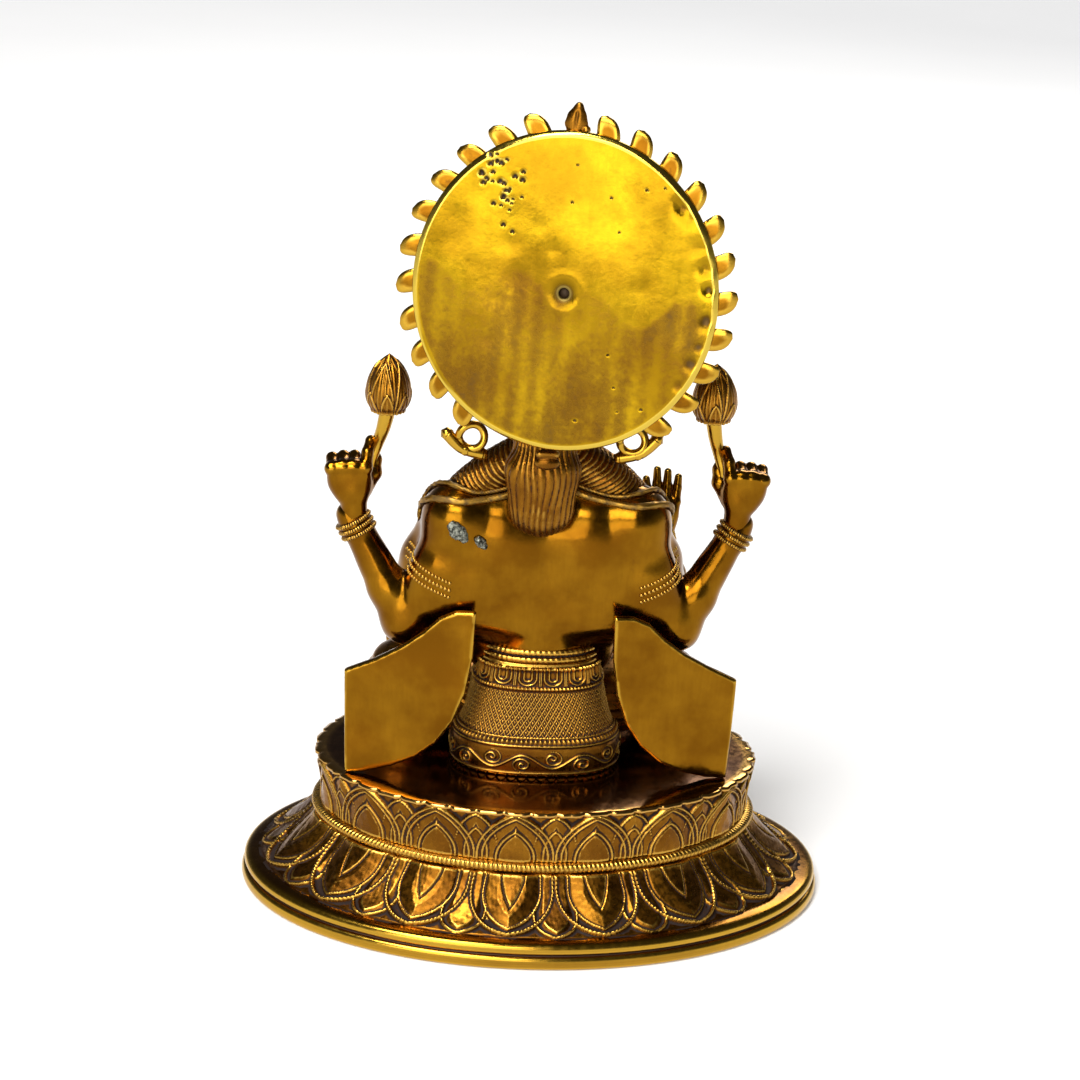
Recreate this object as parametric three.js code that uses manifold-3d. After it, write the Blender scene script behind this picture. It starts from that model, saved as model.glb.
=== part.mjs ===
// Seated four-armed deity in cast brass, on an oval double-lotus base, with a round halo plate behind the head.
// Millimetres, +Z up, the floor at z = 0, the origin at the middle of the base. The deity faces -Y.
// Left and right are the deity's own: its left side is +X.
import * as THREE from "three";
import { ConvexGeometry } from "three/addons/geometries/ConvexGeometry.js";
import { mergeVertices } from "three/addons/utils/BufferGeometryUtils.js";
import Module from "manifold-3d";

const wasm = await Module();
wasm.setup();

// ---------- driving dimensions ----------
const GAP = 0.3; // clearance between neighbouring pieces
const LEFT = 1;
const RIGHT = -1;

const BASE_HALF_WIDTH = 113;
const BASE_DEPTH_RATIO = 0.683; // depth over width of the oval
const RIM_HEIGHT = 10.4;
const LOWER_LOTUS_TOP = 29.6;
const RIBBED_BAND_TOP = 33.6;
const UPPER_LOTUS_TOP = 51.4;
const SEAT_TOP = 54.3;
const SEAT_HALF_WIDTH = 86.5;
const SEAT_SCALLOP = 1.4; // how far the plate edge draws in between petals
const LOTUS_WALL = 8;
const PETALS_PER_ROW = 15;
const FIRST_PETAL = 0.228; // share of the way round the oval, from +X by the back, to a petal's midline
const OVAL_SIDES = 32;

const FIGURE_X = 1.2; // the figure sits this far off the middle of the base
const FIGURE_FLOOR = SEAT_TOP + GAP;
const SKIRT_CENTRE_Y = 6;
const SKIRT_DEPTH_RATIO = 0.69;
const SKIRT_TOP = 98;
const SHOULDER_Z = 154;
const SHOULDER_X = 35;
const ELBOW = [50.8, 10, 111];
const WRIST = [70.4, 8, 147];
const FIST = [72, 8, 164];
const BUD_BASE = [59.6, 8, 191];
const BUD_HEIGHT = 22;
const HEAD = [0, 5, 197];
const HEAD_RADII = [15.5, 17.5, 21];

const HALO_CENTRE = [0.4, 44, 246.5];
const HALO_TURN = THREE.MathUtils.degToRad(12); // turned towards the deity's left
const HALO_LEAN = THREE.MathUtils.degToRad(4); // top leaning over the head
const HALO_HALF_WIDTH = 53.5;
const HALO_HALF_HEIGHT = 56;
const HALO_PLATE = 3;
const HALO_PETALS = 28;
const HALO_PETAL_REACH = 6;
const BARE_PETALS_EACH_SIDE = 2; // petals left out at the bottom, over the bun, on each side of the lowest one

// ---------- materials ----------
const brass = (color, roughness) => new THREE.MeshStandardMaterial({ color, roughness, metalness: 1 });
const POLISHED = () => brass(0xb8860f, 0.25);
const AGED = () => brass(0x7a5512, 0.45);
const DARK_PLATE = () => brass(0x4a2c0c, 0.2);
const SOLDER = () => brass(0x8c8c80, 0.6);

// ---------- solids ----------
// A three.js geometry as a solid, moved by an optional matrix.
function solidFrom(geometry, matrix) {
  const bare = geometry.clone();
  bare.deleteAttribute("normal");
  bare.deleteAttribute("uv");
  if (matrix) bare.applyMatrix4(matrix);
  const merged = mergeVertices(bare, 1e-4);
  return new wasm.Manifold(
    new wasm.Mesh({
      numProp: 3,
      vertProperties: merged.attributes.position.array,
      triVerts: new Uint32Array(merged.index.array),
    }),
  );
}

function geometryFrom(solid) {
  const mesh = solid.getMesh();
  const geometry = new THREE.BufferGeometry();
  geometry.setAttribute("position", new THREE.BufferAttribute(new Float32Array(mesh.vertProperties), 3));
  geometry.setIndex(new THREE.BufferAttribute(new Uint32Array(mesh.triVerts), 1));
  return geometry;
}

const joined = (solids) => solids.reduce((whole, next) => whole.add(next));

// Points of an ellipsoid: centre, radii (one number or three), and how far to grow it.
function ballPoints([centre, radii], grow, sides) {
  const [rx, ry, rz] = typeof radii === "number" ? [radii, radii, radii] : radii;
  const sphere = new THREE.SphereGeometry(1, sides, Math.round(sides * 0.5));
  sphere.rotateX(Math.PI / 2);
  sphere.scale(rx + grow, ry + grow, rz + grow);
  sphere.translate(...centre);
  const points = [];
  const merged = mergeVertices(sphere.deleteAttribute("normal").deleteAttribute("uv"), 1e-4);
  for (let i = 0; i < merged.attributes.position.count; i += 1) {
    points.push(new THREE.Vector3().fromBufferAttribute(merged.attributes.position, i));
  }
  return points;
}

// The skin stretched over a set of ellipsoids.
function skin(balls, grow = 0, sides = 8) {
  return solidFrom(new ConvexGeometry(balls.flatMap((ball) => ballPoints(ball, grow, sides))));
}

// A chain of skins, each over two neighbours in the list.
function limb(balls, grow = 0, sides = 8) {
  return joined(balls.slice(1).map((ball, i) => skin([balls[i], ball], grow, sides)));
}

// A turned ring or disc about Z: the profile lists [radius, z] and goes round with its material on the left.
function turned(profile, { depth = 1, centre = [0, 0, 0], sides = 24, closed = true } = {}) {
  const outline = profile.map(([radius, z]) => new THREE.Vector2(radius, z));
  if (closed) outline.push(outline[0].clone());
  const lathe = new THREE.LatheGeometry(outline, sides);
  lathe.rotateX(Math.PI / 2);
  lathe.scale(1, depth, 1);
  lathe.translate(...centre);
  return solidFrom(lathe);
}

// Everything between two heights.
function slab(low, high) {
  const box = new THREE.BoxGeometry(400, 400, high - low);
  box.translate(0, 0, (low + high) / 2);
  return solidFrom(box);
}

// Turns +Z to a direction and moves to a place.
function along(direction, place) {
  const turn = new THREE.Quaternion().setFromUnitVectors(
    new THREE.Vector3(0, 0, 1),
    new THREE.Vector3(...direction).normalize(),
  );
  return new THREE.Matrix4().compose(new THREE.Vector3(...place), turn, new THREE.Vector3(1, 1, 1));
}

// A ring of rolls round a limb.
function bangle({ place, direction, radius, height, hole, rolls = 3 }, grow = 0) {
  const profile = [[hole - grow, -height / 2 - grow]];
  for (let i = 0; i < rolls; i += 1) {
    const low = -height / 2 + (i * height) / rolls;
    const high = low + height / rolls;
    profile.push([radius - 0.9 + grow, i === 0 ? low - grow : low]);
    profile.push([radius + grow, (low + high) / 2]);
    if (i === rolls - 1) profile.push([radius - 0.9 + grow, high + grow]);
  }
  profile.push([hole - grow, height / 2 + grow]);
  const outline = profile.map(([r, z]) => new THREE.Vector2(r, z));
  outline.push(outline[0].clone());
  const lathe = new THREE.LatheGeometry(outline, 12);
  lathe.rotateX(Math.PI / 2);
  return solidFrom(lathe, along(direction, place));
}

const mirrored = ([x, y, z], side) => [side * x, y, z];
const minus = (a, b) => a.map((value, i) => value - b[i]);
const between = (a, b, t) => a.map((value, i) => value + (b[i] - value) * t);

// ---------- base ----------
const oval = { depth: BASE_DEPTH_RATIO, sides: OVAL_SIDES };

function baseRim() {
  const r = BASE_HALF_WIDTH;
  return turned(
    [
      [r - 13, 0],
      [r - 1.4, 0],
      [r, 2.6],
      [r - 2.6, 5.4],
      [r - 1.2, 7.4],
      [r - 4, RIM_HEIGHT],
      [r - 13, RIM_HEIGHT],
    ],
    oval,
  );
}

// The oval's edge in short steps, to find the angle at a share of the way round it.
const EDGE_STEPS = 720;
const edgeWalk = [0];
for (let i = 1; i <= EDGE_STEPS; i += 1) {
  const a = ((i - 0.5) / EDGE_STEPS) * 2 * Math.PI;
  edgeWalk.push(edgeWalk[i - 1] + Math.hypot(Math.sin(a), Math.cos(a) * BASE_DEPTH_RATIO));
}
function ovalAngle(share) {
  const turns = Math.floor(share);
  const walked = (share - turns) * edgeWalk[EDGE_STEPS];
  const i = Math.min(EDGE_STEPS, Math.max(1, edgeWalk.findIndex((length) => length >= walked)));
  const part = (walked - edgeWalk[i - 1]) / (edgeWalk[i] - edgeWalk[i - 1]);
  return (turns + (i - 1 + part) / EDGE_STEPS) * 2 * Math.PI;
}

// A ring with a row of raised petals on its outer side. Each row of the outer side, from the bottom up, gives the
// radius, the height, the petal's half-width there as a share of the pitch, and how far the petal stands out.
function petalBand(rows, wall) {
  const positions = [];
  const columns = PETALS_PER_ROW * 6;
  for (let column = 0; column < columns; column += 1) {
    const turn = Math.floor(column / 6);
    const place = column % 6;
    for (const [radius, z, width, raise] of rows) {
      const across = [-0.5, -width, -width * 0.8, 0, width * 0.8, width][place];
      const a = ovalAngle(FIRST_PETAL + (turn + across) / PETALS_PER_ROW);
      const r = radius + (place >= 2 && place <= 4 ? raise : 0);
      positions.push(Math.cos(a) * r, Math.sin(a) * r * BASE_DEPTH_RATIO, z);
    }
    for (const [radius, z] of wall) {
      const a = ovalAngle(FIRST_PETAL + (turn + place / 6 - 0.5) / PETALS_PER_ROW);
      positions.push(Math.cos(a) * radius, Math.sin(a) * radius * BASE_DEPTH_RATIO, z);
    }
  }
  const height = rows.length + wall.length;
  const index = [];
  for (let column = 0; column < columns; column += 1) {
    for (let row = 0; row < height; row += 1) {
      const next = (column + 1) % columns;
      const up = (row + 1) % height;
      const [a, b] = [column * height + row, next * height + row];
      const [c, d] = [next * height + up, column * height + up];
      index.push(a, b, c, a, c, d);
    }
  }
  const band = new THREE.BufferGeometry();
  band.setAttribute("position", new THREE.Float32BufferAttribute(positions, 3));
  band.setIndex(index);
  return solidFrom(band);
}

function lowerLotus() {
  const low = RIM_HEIGHT + GAP;
  return petalBand(
    [
      [BASE_HALF_WIDTH - 7, low, 0.1, 0],
      [99, 13.4, 0.1, 0.5],
      [95.4, 16, 0.26, 1.6],
      [90, 21, 0.4, 2],
      [86, 26, 0.45, 1.8],
      [83.5, LOWER_LOTUS_TOP, 0.46, 1.2],
    ],
    [[83.5 - LOTUS_WALL, LOWER_LOTUS_TOP], [BASE_HALF_WIDTH - 13, low]],
  );
}

function ribbedBand() {
  const low = LOWER_LOTUS_TOP + GAP;
  return turned(
    [[79, low], [84.6, low], [86, (low + RIBBED_BAND_TOP) / 2], [84.6, RIBBED_BAND_TOP], [79, RIBBED_BAND_TOP]],
    oval,
  );
}

function upperLotus() {
  const low = RIBBED_BAND_TOP + GAP;
  return petalBand(
    [
      [82.2, low, 0.46, 0.8],
      [82.6, low + 6, 0.45, 1.3],
      [83.4, low + 11.5, 0.34, 1.4],
      [84.2, low + 15.4, 0.18, 1.2],
      [84.6, UPPER_LOTUS_TOP, 0.08, 0.6],
    ],
    [[79, UPPER_LOTUS_TOP], [78, low]],
  );
}

// The seat is a flat oval plate whose edge is scalloped by the petal tips below it.
function seatPlate() {
  const low = UPPER_LOTUS_TOP + GAP;
  const outline = new THREE.Shape();
  const steps = PETALS_PER_ROW * 4;
  for (let i = 0; i < steps; i += 1) {
    const a = ovalAngle(FIRST_PETAL + i / steps);
    const radius = SEAT_HALF_WIDTH - (i % 4 === 2 ? SEAT_SCALLOP : 0);
    const point = [Math.cos(a) * radius, Math.sin(a) * radius * BASE_DEPTH_RATIO];
    if (i === 0) outline.moveTo(...point);
    else outline.lineTo(...point);
  }
  const plate = new THREE.ExtrudeGeometry(outline, { depth: SEAT_TOP - low, bevelEnabled: false });
  plate.translate(0, 0, low);
  return solidFrom(plate);
}

// ---------- figure ----------
const torso = (grow) =>
  joined([
    skin([[[-SHOULDER_X + 11, 11, SHOULDER_Z - 3], [17, 15, 13]], [[SHOULDER_X - 11, 11, SHOULDER_Z - 3], [17, 15, 13]],
      [[0, 9, 122], [30, 15, 9]]], grow, 10),
    limb([[[0, 9, 120], [26, 15, 9]], [[0, 8, SKIRT_TOP + 9], [20, 14, 8]]], grow, 10),
    skin([[[0, 10, SHOULDER_Z + 4], [21, 12, 8]], [[0, 7, 168], [9.5, 9.5, 4]]], grow),
  ]);

const skirt = { depth: SKIRT_DEPTH_RATIO, centre: [0, SKIRT_CENTRE_Y, 0], sides: 20 };

function lowerGarment(grow) {
  const top = SKIRT_TOP + grow;
  return turned(
    [[0, FIGURE_FLOOR], [31 + grow, FIGURE_FLOOR], [31.5 + grow, 67], [29.5 + grow, 71], [25 + grow, 84],
      [20.5 + grow, top], [0, top]],
    { ...skirt, closed: false },
  );
}

// A band round the skirt between two heights, following its slope.
const skirtBand = (low, high, grow) =>
  turned(
    [[low[0] - 5, low[1] - grow], [low[0] + grow, low[1] - grow], [(low[0] + high[0]) / 2 + 1 + grow,
      (low[1] + high[1]) / 2], [high[0] + grow, high[1] + grow], [high[0] - 5, high[1] + grow]],
    skirt,
  );
const waistBelt = (grow) => skirtBand([22.2, SKIRT_TOP + 0.6], [22, SKIRT_TOP + 6], grow);
const girdleBand = (grow) => skirtBand([24.4, 88.4], [22.4, SKIRT_TOP], grow);
const hemBand = (grow) => skirtBand([33, FIGURE_FLOOR + grow], [32.4, 67], grow);

const leg = (side) => (grow) => {
  const lift = side === LEFT ? 0 : 4;
  const hip = [[side * 17, 0, 72], [14, 14, 13]];
  const knee = [[side * 50, -21, 73.5], [13, 13, 15]];
  const shin = [[side * 22, -37, 64.5 + lift], [10, 8.5, 8.6]];
  const ankle = [[-side * 6, -44, 62.5 + lift], [7, 6.5, 6.2]];
  return joined([skin([hip, knee, shin], grow), skin([shin, ankle], grow)]);
};
// The cloth gathered in the lap, under the crossed shins.
const lapCloth = (grow) => skin([[[0, -20, 64], [18, 14, 10]], [[0, -34, 62], [14, 10, 8]]], grow, 10);
const foot = (side) => (grow) => {
  const z = side === LEFT ? 60.6 : 68.6;
  return limb([
    [[-side * 17, -45, z], [6, 6, 5]],
    [[-side * 29, -44, z + 0.4], [6, 6.5, 4]],
    [[-side * 39, -42.5, z + 1], [4.5, 6, 3]],
  ], grow);
};
const anklet = (side) => (grow) =>
  bangle({ place: [-side * 11.5, -44.8, side === LEFT ? 61.4 : 67.2], direction: [side, 0.05, 0],
    radius: 7.4, height: 4, hole: 4, rolls: 2 }, grow);

// A flared end of the sash: a flat plate standing on the seat, swept a little forward.
const sashPlate = (side) => () => {
  const corners = [[25, 118.5], [30, 116], [45, 107.5], [70.8, 93], [69.2, FIGURE_FLOOR], [56, FIGURE_FLOOR + 2.5],
    [41, 63], [32.5, 72], [26.8, 86], [25, 104]];
  const outline = new THREE.Shape(corners.map(([x, z]) => new THREE.Vector2(x, z)));
  const plate = new THREE.ExtrudeGeometry(outline, { depth: 3.4, bevelEnabled: false });
  plate.rotateX(Math.PI / 2);
  plate.translate(-25, 0, 0);
  plate.rotateZ(-0.14);
  plate.translate(28, 31.5, 0);
  return side === RIGHT ? solidFrom(flipped(plate)) : solidFrom(plate);
};

// A geometry mirrored across X, each triangle turned round so that its face still points out.
function flipped(geometry) {
  const loose = geometry.index ? geometry.toNonIndexed() : geometry.clone();
  loose.scale(-1, 1, 1);
  const p = loose.attributes.position.array;
  for (let i = 0; i < p.length; i += 9) {
    for (let k = 3; k < 6; k += 1) [p[i + k], p[i + k + 3]] = [p[i + k + 3], p[i + k]];
  }
  return loose;
}

const collar = (grow) =>
  skin([[[-22, 11, 163], [12, 12, 6]], [[22, 11, 163], [12, 12, 6]], [[-9, 11, 174], [9, 11, 5]], [[9, 11, 174], [9, 11, 5]]],
    grow);
const pendant = (grow) => skin([[[0, -6.5, 147], [5, 3, 6]], [[0, -8, 138], [3, 2.4, 3]]], grow);

const head = (grow) =>
  joined([
    skin([[HEAD, HEAD_RADII]], grow, 14),
    skin([[[0, 7, 176.5], [8.5, 8.5, 3]], [[0, 6, 186], [8.5, 9, 4]]], grow),
    skin([[[0, -12.6, 199], [1.6, 2, 3]], [[0, -14.2, 194], [2.8, 2.6, 2.2]]], grow),
  ]);
const earring = (side) => (grow) => skin([[[side * 17.6, 4, 190], [2.8, 3.6, 4.5]], [[side * 18, 4, 183], 2.4]], grow);

// The crown: five tiers, each with a rolled edge, drawn in to a knob.
function crown(grow) {
  const tiers = [[18.2, 205], [17.4, 214], [14.6, 225], [11.4, 236], [8.2, 246], [5, 255]];
  const profile = [[0, 205]];
  for (let i = 0; i < tiers.length - 1; i += 1) {
    const [radius, z] = tiers[i];
    profile.push([radius - 1 + grow, z]);
    profile.push([radius + grow, z + 2.4]);
    profile.push([radius - 2 + grow, tiers[i + 1][1] - 2]);
  }
  profile.push([5 + grow, 255]);
  profile.push([5.4 + grow, 259]);
  profile.push([2.4 + grow, 265]);
  profile.push([0, 270 + grow]);
  return turned(profile, { centre: [0, 5, 0], sides: 14, closed: false });
}

const hairBun = (grow) =>
  limb([[[2.5, 24, 190], [12, 9, 9]], [[3.3, 28, 176], [14.5, 9.5, 10]], [[3.3, 28.5, 164], [12.5, 9, 11.5]]], grow);
const bunClasp = (grow) => skin([[[2.6, 37, 182.5], [5, 2.4, 3.4]], [[2.6, 37.4, 186], [4.4, 2.2, 2]]], grow);

// A bow of ribbon behind each ear: a loop with one short tail.
const ribbon = (side) => (grow) => {
  const loop = new THREE.TorusGeometry(4.6, 1.6 + grow, 6, 12);
  loop.rotateX(Math.PI / 2);
  loop.translate(side * 27.6, 20, 186);
  return joined([
    solidFrom(loop),
    skin([[[side * 30, 20, 180.4], 2.2], [[side * 38, 20, 185.4], 2.5]], grow),
    skin([[[side * 24, 19, 178], [3.4, 3, 2.6]], [[side * 30, 20, 180.4], 2.2]], grow),
  ]);
};

// ---------- arms ----------
const rearUpperArm = (side) => (grow) =>
  limb([[[side * (SHOULDER_X - 1), 13, SHOULDER_Z], [11, 12, 12]], [mirrored(ELBOW, side), 9.2]], grow);
const rearForearm = (side) => (grow) =>
  limb([[mirrored(between(ELBOW, WRIST, 0.12), side), 8.8], [mirrored(between(ELBOW, WRIST, 0.45), side), 7.6],
    [mirrored(WRIST, side), 5.8]], grow);
const rearBangle = (side) => (grow) =>
  bangle({ place: mirrored(between(ELBOW, WRIST, 0.99), side), direction: mirrored(minus(WRIST, ELBOW), side),
    radius: 8.4, height: 8, hole: 4.5 }, grow);
const armlet = (side) => (grow) =>
  bangle({ place: [side * 43, 11.6, 131.5], direction: [side * 0.4, -0.06, -1], radius: 12, height: 9, hole: 6 }, grow);

// The fist, four knuckles up, with the index finger and thumb pinching the stem on its inner side.
const rearHand = (side) => (grow) => {
  const [x, y, z] = FIST;
  const palm = skin([[[side * (x - 0.5), y, z - 7], [6, 4.6, 4]], [[side * x, y, z + 2], [9.6, 5.6, 6]]], grow);
  const knuckles = [0, 1, 2, 3].map((i) =>
    skin([[[side * (x + 7.4 - i * 4.2), y, z + 7], 2.3], [[side * (x + 7 - i * 4.2), y - 5.5, z + 4.5], 2.2]], grow, 5),
  );
  const index = skin([[[side * (x - 7.2), y, z + 7], 2.3], [[side * (x - 7.6), y - 1, z + 12], 1.9]], grow, 6);
  const thumb = skin([[[side * (x - 7), y - 5, z + 1], 2.6], [[side * (x - 8.6), y - 4.5, z + 8.6], 2]], grow, 6);
  return joined([palm, ...knuckles, index, thumb]);
};

const lotusStem = (side) => (grow) =>
  limb([[[side * 63.6, 3.6, 173], 2], [[side * 61.6, 5.6, 182], 2.4], [[side * BUD_BASE[0], BUD_BASE[1], 190], 2.9]],
    grow, 8);

function lotusBud(side) {
  return (grow) => {
    const [x, y, z] = mirrored(BUD_BASE, side);
    const profile = [[0, 0], [2.6, 0], [7.4, 3.4], [7.8, 6.6], [6.4, 8], [8.3, 12], [6.6, 17], [3.6, 19.6]];
    const outline = profile.map(([radius, height]) => [radius === 0 ? 0 : radius + grow, height]);
    outline.push([0, BUD_HEIGHT + grow]);
    return turned(outline, { centre: [x, y, z], sides: 10, closed: false });
  };
}

// Front arms: the right hand is raised palm out, the left hand is lowered in giving.
const FRONT = {
  [LEFT]: { elbow: [52, -10, 110], wrist: [50, -39, 95], tip: [50, -49, 68] },
  [RIGHT]: { elbow: [-52, -11, 112], wrist: [-48, -38.5, 130], tip: [-48, -44, 155] },
};
const frontUpperArm = (side) => (grow) =>
  limb([[[side * (SHOULDER_X + 1), 2, SHOULDER_Z - 2], [9.5, 9, 10]], [FRONT[side].elbow, 7.4]], grow);
const frontForearm = (side) => (grow) => {
  const { elbow, wrist } = FRONT[side];
  return limb([[between(elbow, wrist, 0.15), 7], [wrist, 4.8]], grow);
};
const frontBangle = (side) => (grow) => {
  const { elbow, wrist } = FRONT[side];
  return bangle({ place: between(elbow, wrist, 0.94), direction: minus(wrist, elbow), radius: 7, height: 6, hole: 3.6 },
    grow);
};
const frontHand = (side) => (grow) => {
  const { wrist, tip } = FRONT[side];
  const knuckle = between(wrist, tip, 0.52);
  const palm = skin([[between(wrist, tip, 0.12), [4.4, 3.6, 3.6]], [knuckle, [7, 3.2, 3.6]]], grow);
  const fingers = [0, 1, 2, 3].map((i) => {
    const x = (i - 1.5) * 3.7;
    const reach = 1 - 0.07 * Math.abs(i - 1.6);
    const end = between(wrist, tip, reach);
    return skin([[[knuckle[0] + x, knuckle[1], knuckle[2]], 1.9], [[end[0] + x * 1.05, end[1], end[2]], 1.6]], grow, 5);
  });
  const thumbEnd = between(wrist, tip, 0.72);
  const thumb = skin([[between(wrist, tip, 0.3), 2.6], [[thumbEnd[0] - side * 9, thumbEnd[1] - 2, thumbEnd[2]], 1.8]],
    grow, 6);
  return joined([palm, ...fingers, thumb]);
};

// Two small patches of solder on the back.
const solderPatch = (x, z, radius) => () =>
  skin([[[x, 26.3, z], [radius, 1, radius]]], 0, 10);

// ---------- halo, in its own turned frame: its back face looks along +Y ----------
function ellipseDisc(halfWidth, halfHeight, thickness, bevel) {
  const outline = new THREE.Shape();
  outline.absellipse(0, 0, halfWidth - bevel, halfHeight - bevel, 0, 2 * Math.PI);
  const disc = new THREE.ExtrudeGeometry(outline, {
    depth: thickness - 2 * bevel,
    bevelThickness: bevel,
    bevelSize: bevel,
    bevelSegments: 1,
    curveSegments: 22,
  });
  disc.translate(0, 0, bevel - thickness);
  disc.rotateX(-Math.PI / 2);
  return disc;
}

function haloDisc() {
  const disc = solidFrom(ellipseDisc(HALO_HALF_WIDTH, HALO_HALF_HEIGHT, HALO_PLATE, 0.8));
  const pegHole = new THREE.CylinderGeometry(2.6, 2.6, 20, 12);
  return disc.subtract(solidFrom(pegHole));
}

// The front plate: its edge is a ring of tongue-shaped petals leaning one way round, with the finial's gap on top.
function haloPetalRing() {
  const outline = new THREE.Shape();
  const pitch = (2 * Math.PI) / HALO_PETALS;
  const tongue = [[-0.42, 0], [-0.3, 0.72], [0.05, 1], [0.34, 0.7], [0.42, 0]];
  const rim = (angle, reach) => [
    Math.sin(angle) * (HALO_HALF_WIDTH - 1.5 + reach),
    Math.cos(angle) * (HALO_HALF_HEIGHT - 1.5 + reach),
  ];
  outline.moveTo(...rim(-0.42 * pitch, 0));
  outline.lineTo(...rim(0.42 * pitch, 0));
  for (let i = 1; i < HALO_PETALS; i += 1) {
    if (Math.abs(i - HALO_PETALS / 2) <= BARE_PETALS_EACH_SIDE) continue;
    for (const [turn, reach] of tongue) outline.lineTo(...rim((i + turn) * pitch, reach * (HALO_PETAL_REACH + 1.5)));
  }
  const plate = new THREE.ExtrudeGeometry(outline, { depth: HALO_PLATE, bevelEnabled: false });
  plate.rotateX(Math.PI / 2);
  plate.translate(0, -HALO_PLATE - GAP, 0);
  const pegHole = new THREE.CylinderGeometry(2.6, 2.6, 40, 12);
  return solidFrom(plate).subtract(solidFrom(pegHole));
}

function haloFrontRing() {
  const ring = new THREE.TorusGeometry(1, 0.045, 5, 28);
  ring.scale(HALO_HALF_WIDTH - 8, HALO_HALF_HEIGHT - 8, 40);
  ring.rotateX(Math.PI / 2);
  ring.translate(0, -2 * HALO_PLATE - 2 * GAP - 1.85, 0);
  return solidFrom(ring);
}

// A leaf on the top of the plate.
function haloFinial() {
  const top = HALO_HALF_HEIGHT;
  const y = -HALO_PLATE * 1.5 - GAP;
  return skin([[[0, y, top + 0.6], [3.8, 1.5, 1.6]], [[0.2, y, top + 4.6], [4.2, 1.5, 2]], [[1, y, top + 8.8],
    [0.6, 0.6, 0.6]]], 0, 8);
}

function haloPeg() {
  const peg = new THREE.CylinderGeometry(2.2, 2.2, 34, 12);
  peg.translate(0, -17.2, 0);
  const rivet = new THREE.CylinderGeometry(2.2, 2.2, 1, 12);
  rivet.translate(0, -0.4, 0);
  return joined([solidFrom(peg), solidFrom(rivet)]);
}

// ---------- assembly ----------
const model = new THREE.Group();
const figure = new THREE.Group();
figure.position.x = FIGURE_X;
const halo = new THREE.Group();
halo.position.set(...HALO_CENTRE);
halo.rotation.set(HALO_LEAN, 0, -HALO_TURN, "ZXY");
model.add(figure);
figure.add(halo);

function place(group, name, finish, solid) {
  const mesh = new THREE.Mesh(geometryFrom(solid), finish());
  mesh.name = name;
  group.add(mesh);
}

place(model, "base_rim", POLISHED, baseRim());
place(model, "lotus_lower", AGED, lowerLotus());
place(model, "ribbed_band", AGED, ribbedBand());
place(model, "lotus_upper", AGED, upperLotus());
place(model, "seat_plate", DARK_PLATE, seatPlate());

const haloPieces = [
  ["halo_disc", POLISHED, haloDisc()],
  ["halo_petal_ring", AGED, haloPetalRing()],
  ["halo_front_ring", AGED, haloFrontRing()],
  ["halo_finial", AGED, haloFinial()],
  ["halo_peg", POLISHED, haloPeg()],
];

// Pieces of the figure, in the order that they are fitted: each is cut back from the ones before it.
const sides = [["left", LEFT], ["right", RIGHT]];
const both = (name, finish, make) => sides.map(([word, side]) => [`${name}_${word}`, finish, make(side)]);
const pieces = [
  ["torso", POLISHED, torso],
  ["lower_garment", AGED, lowerGarment],
  ["waist_belt", AGED, waistBelt],
  ["girdle_band", AGED, girdleBand],
  ["hem_band", AGED, hemBand],
  ...both("leg", AGED, leg),
  ...both("anklet", AGED, anklet),
  ...both("foot", POLISHED, foot),
  ["lap_cloth", AGED, lapCloth],
  ...both("armlet", AGED, armlet),
  ...both("rear_bangle", AGED, rearBangle),
  ...both("front_bangle", AGED, frontBangle),
  ...both("rear_upper_arm", POLISHED, rearUpperArm),
  ...both("front_upper_arm", POLISHED, frontUpperArm),
  ...both("rear_forearm", POLISHED, rearForearm),
  ...both("front_forearm", POLISHED, frontForearm),
  ...both("lotus_stem", AGED, lotusStem),
  ...both("lotus_bud", AGED, lotusBud),
  ...both("rear_hand", POLISHED, rearHand),
  ...both("front_hand", POLISHED, frontHand),
  ["crown", AGED, crown],
  ["head", POLISHED, head],
  ["hair_bun", AGED, hairBun],
  ["bun_clasp", AGED, bunClasp],
  ["collar", AGED, collar],
  ["pendant", AGED, pendant],
  ...both("earring", AGED, earring),
  ...both("ribbon", AGED, ribbon),
  ...both("sash_plate", POLISHED, sashPlate),
  ["solder_patch_large", SOLDER, solderPatch(33, 151.5, 4.6)],
  ["solder_patch_small", SOLDER, solderPatch(24.5, 147.5, 2.8)],
];

function boxesMeet(a, b) {
  const one = a.boundingBox();
  const two = b.boundingBox();
  return [0, 1, 2].every((k) => one.min[k] < two.max[k] && two.min[k] < one.max[k]);
}

// Cutting can leave crumbs: the piece is the largest body that is left.
function largestBody(solid) {
  return solid.decompose().sort((a, b) => b.volume() - a.volume())[0];
}

const fitted = [slab(0, FIGURE_FLOOR)];
for (const [name, finish, shape] of pieces) {
  let solid = shape(0);
  for (const earlier of fitted) {
    if (boxesMeet(solid, earlier)) solid = solid.subtract(earlier);
  }
  place(figure, name, finish, largestBody(solid));
  fitted.push(shape(GAP));
}

// The halo pieces are cut back from the figure in its frame.
halo.updateWorldMatrix(true, false);
const intoHalo = new THREE.Matrix4().copy(halo.matrix).invert();
for (const [name, finish, solid] of haloPieces) {
  let cut = solid;
  for (const earlier of fitted) {
    const there = solidFrom(geometryFrom(earlier), intoHalo);
    if (boxesMeet(cut, there)) cut = cut.subtract(there);
  }
  place(halo, name, finish, largestBody(cut));
}

export default model;
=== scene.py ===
# Looks of the seated brass deity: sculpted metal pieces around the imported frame, in metres, +Z up, facing -Y.
# Lengths are in millimetres, which make_piece turns into metres. Only floor_and_light works in metres.
import math

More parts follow.
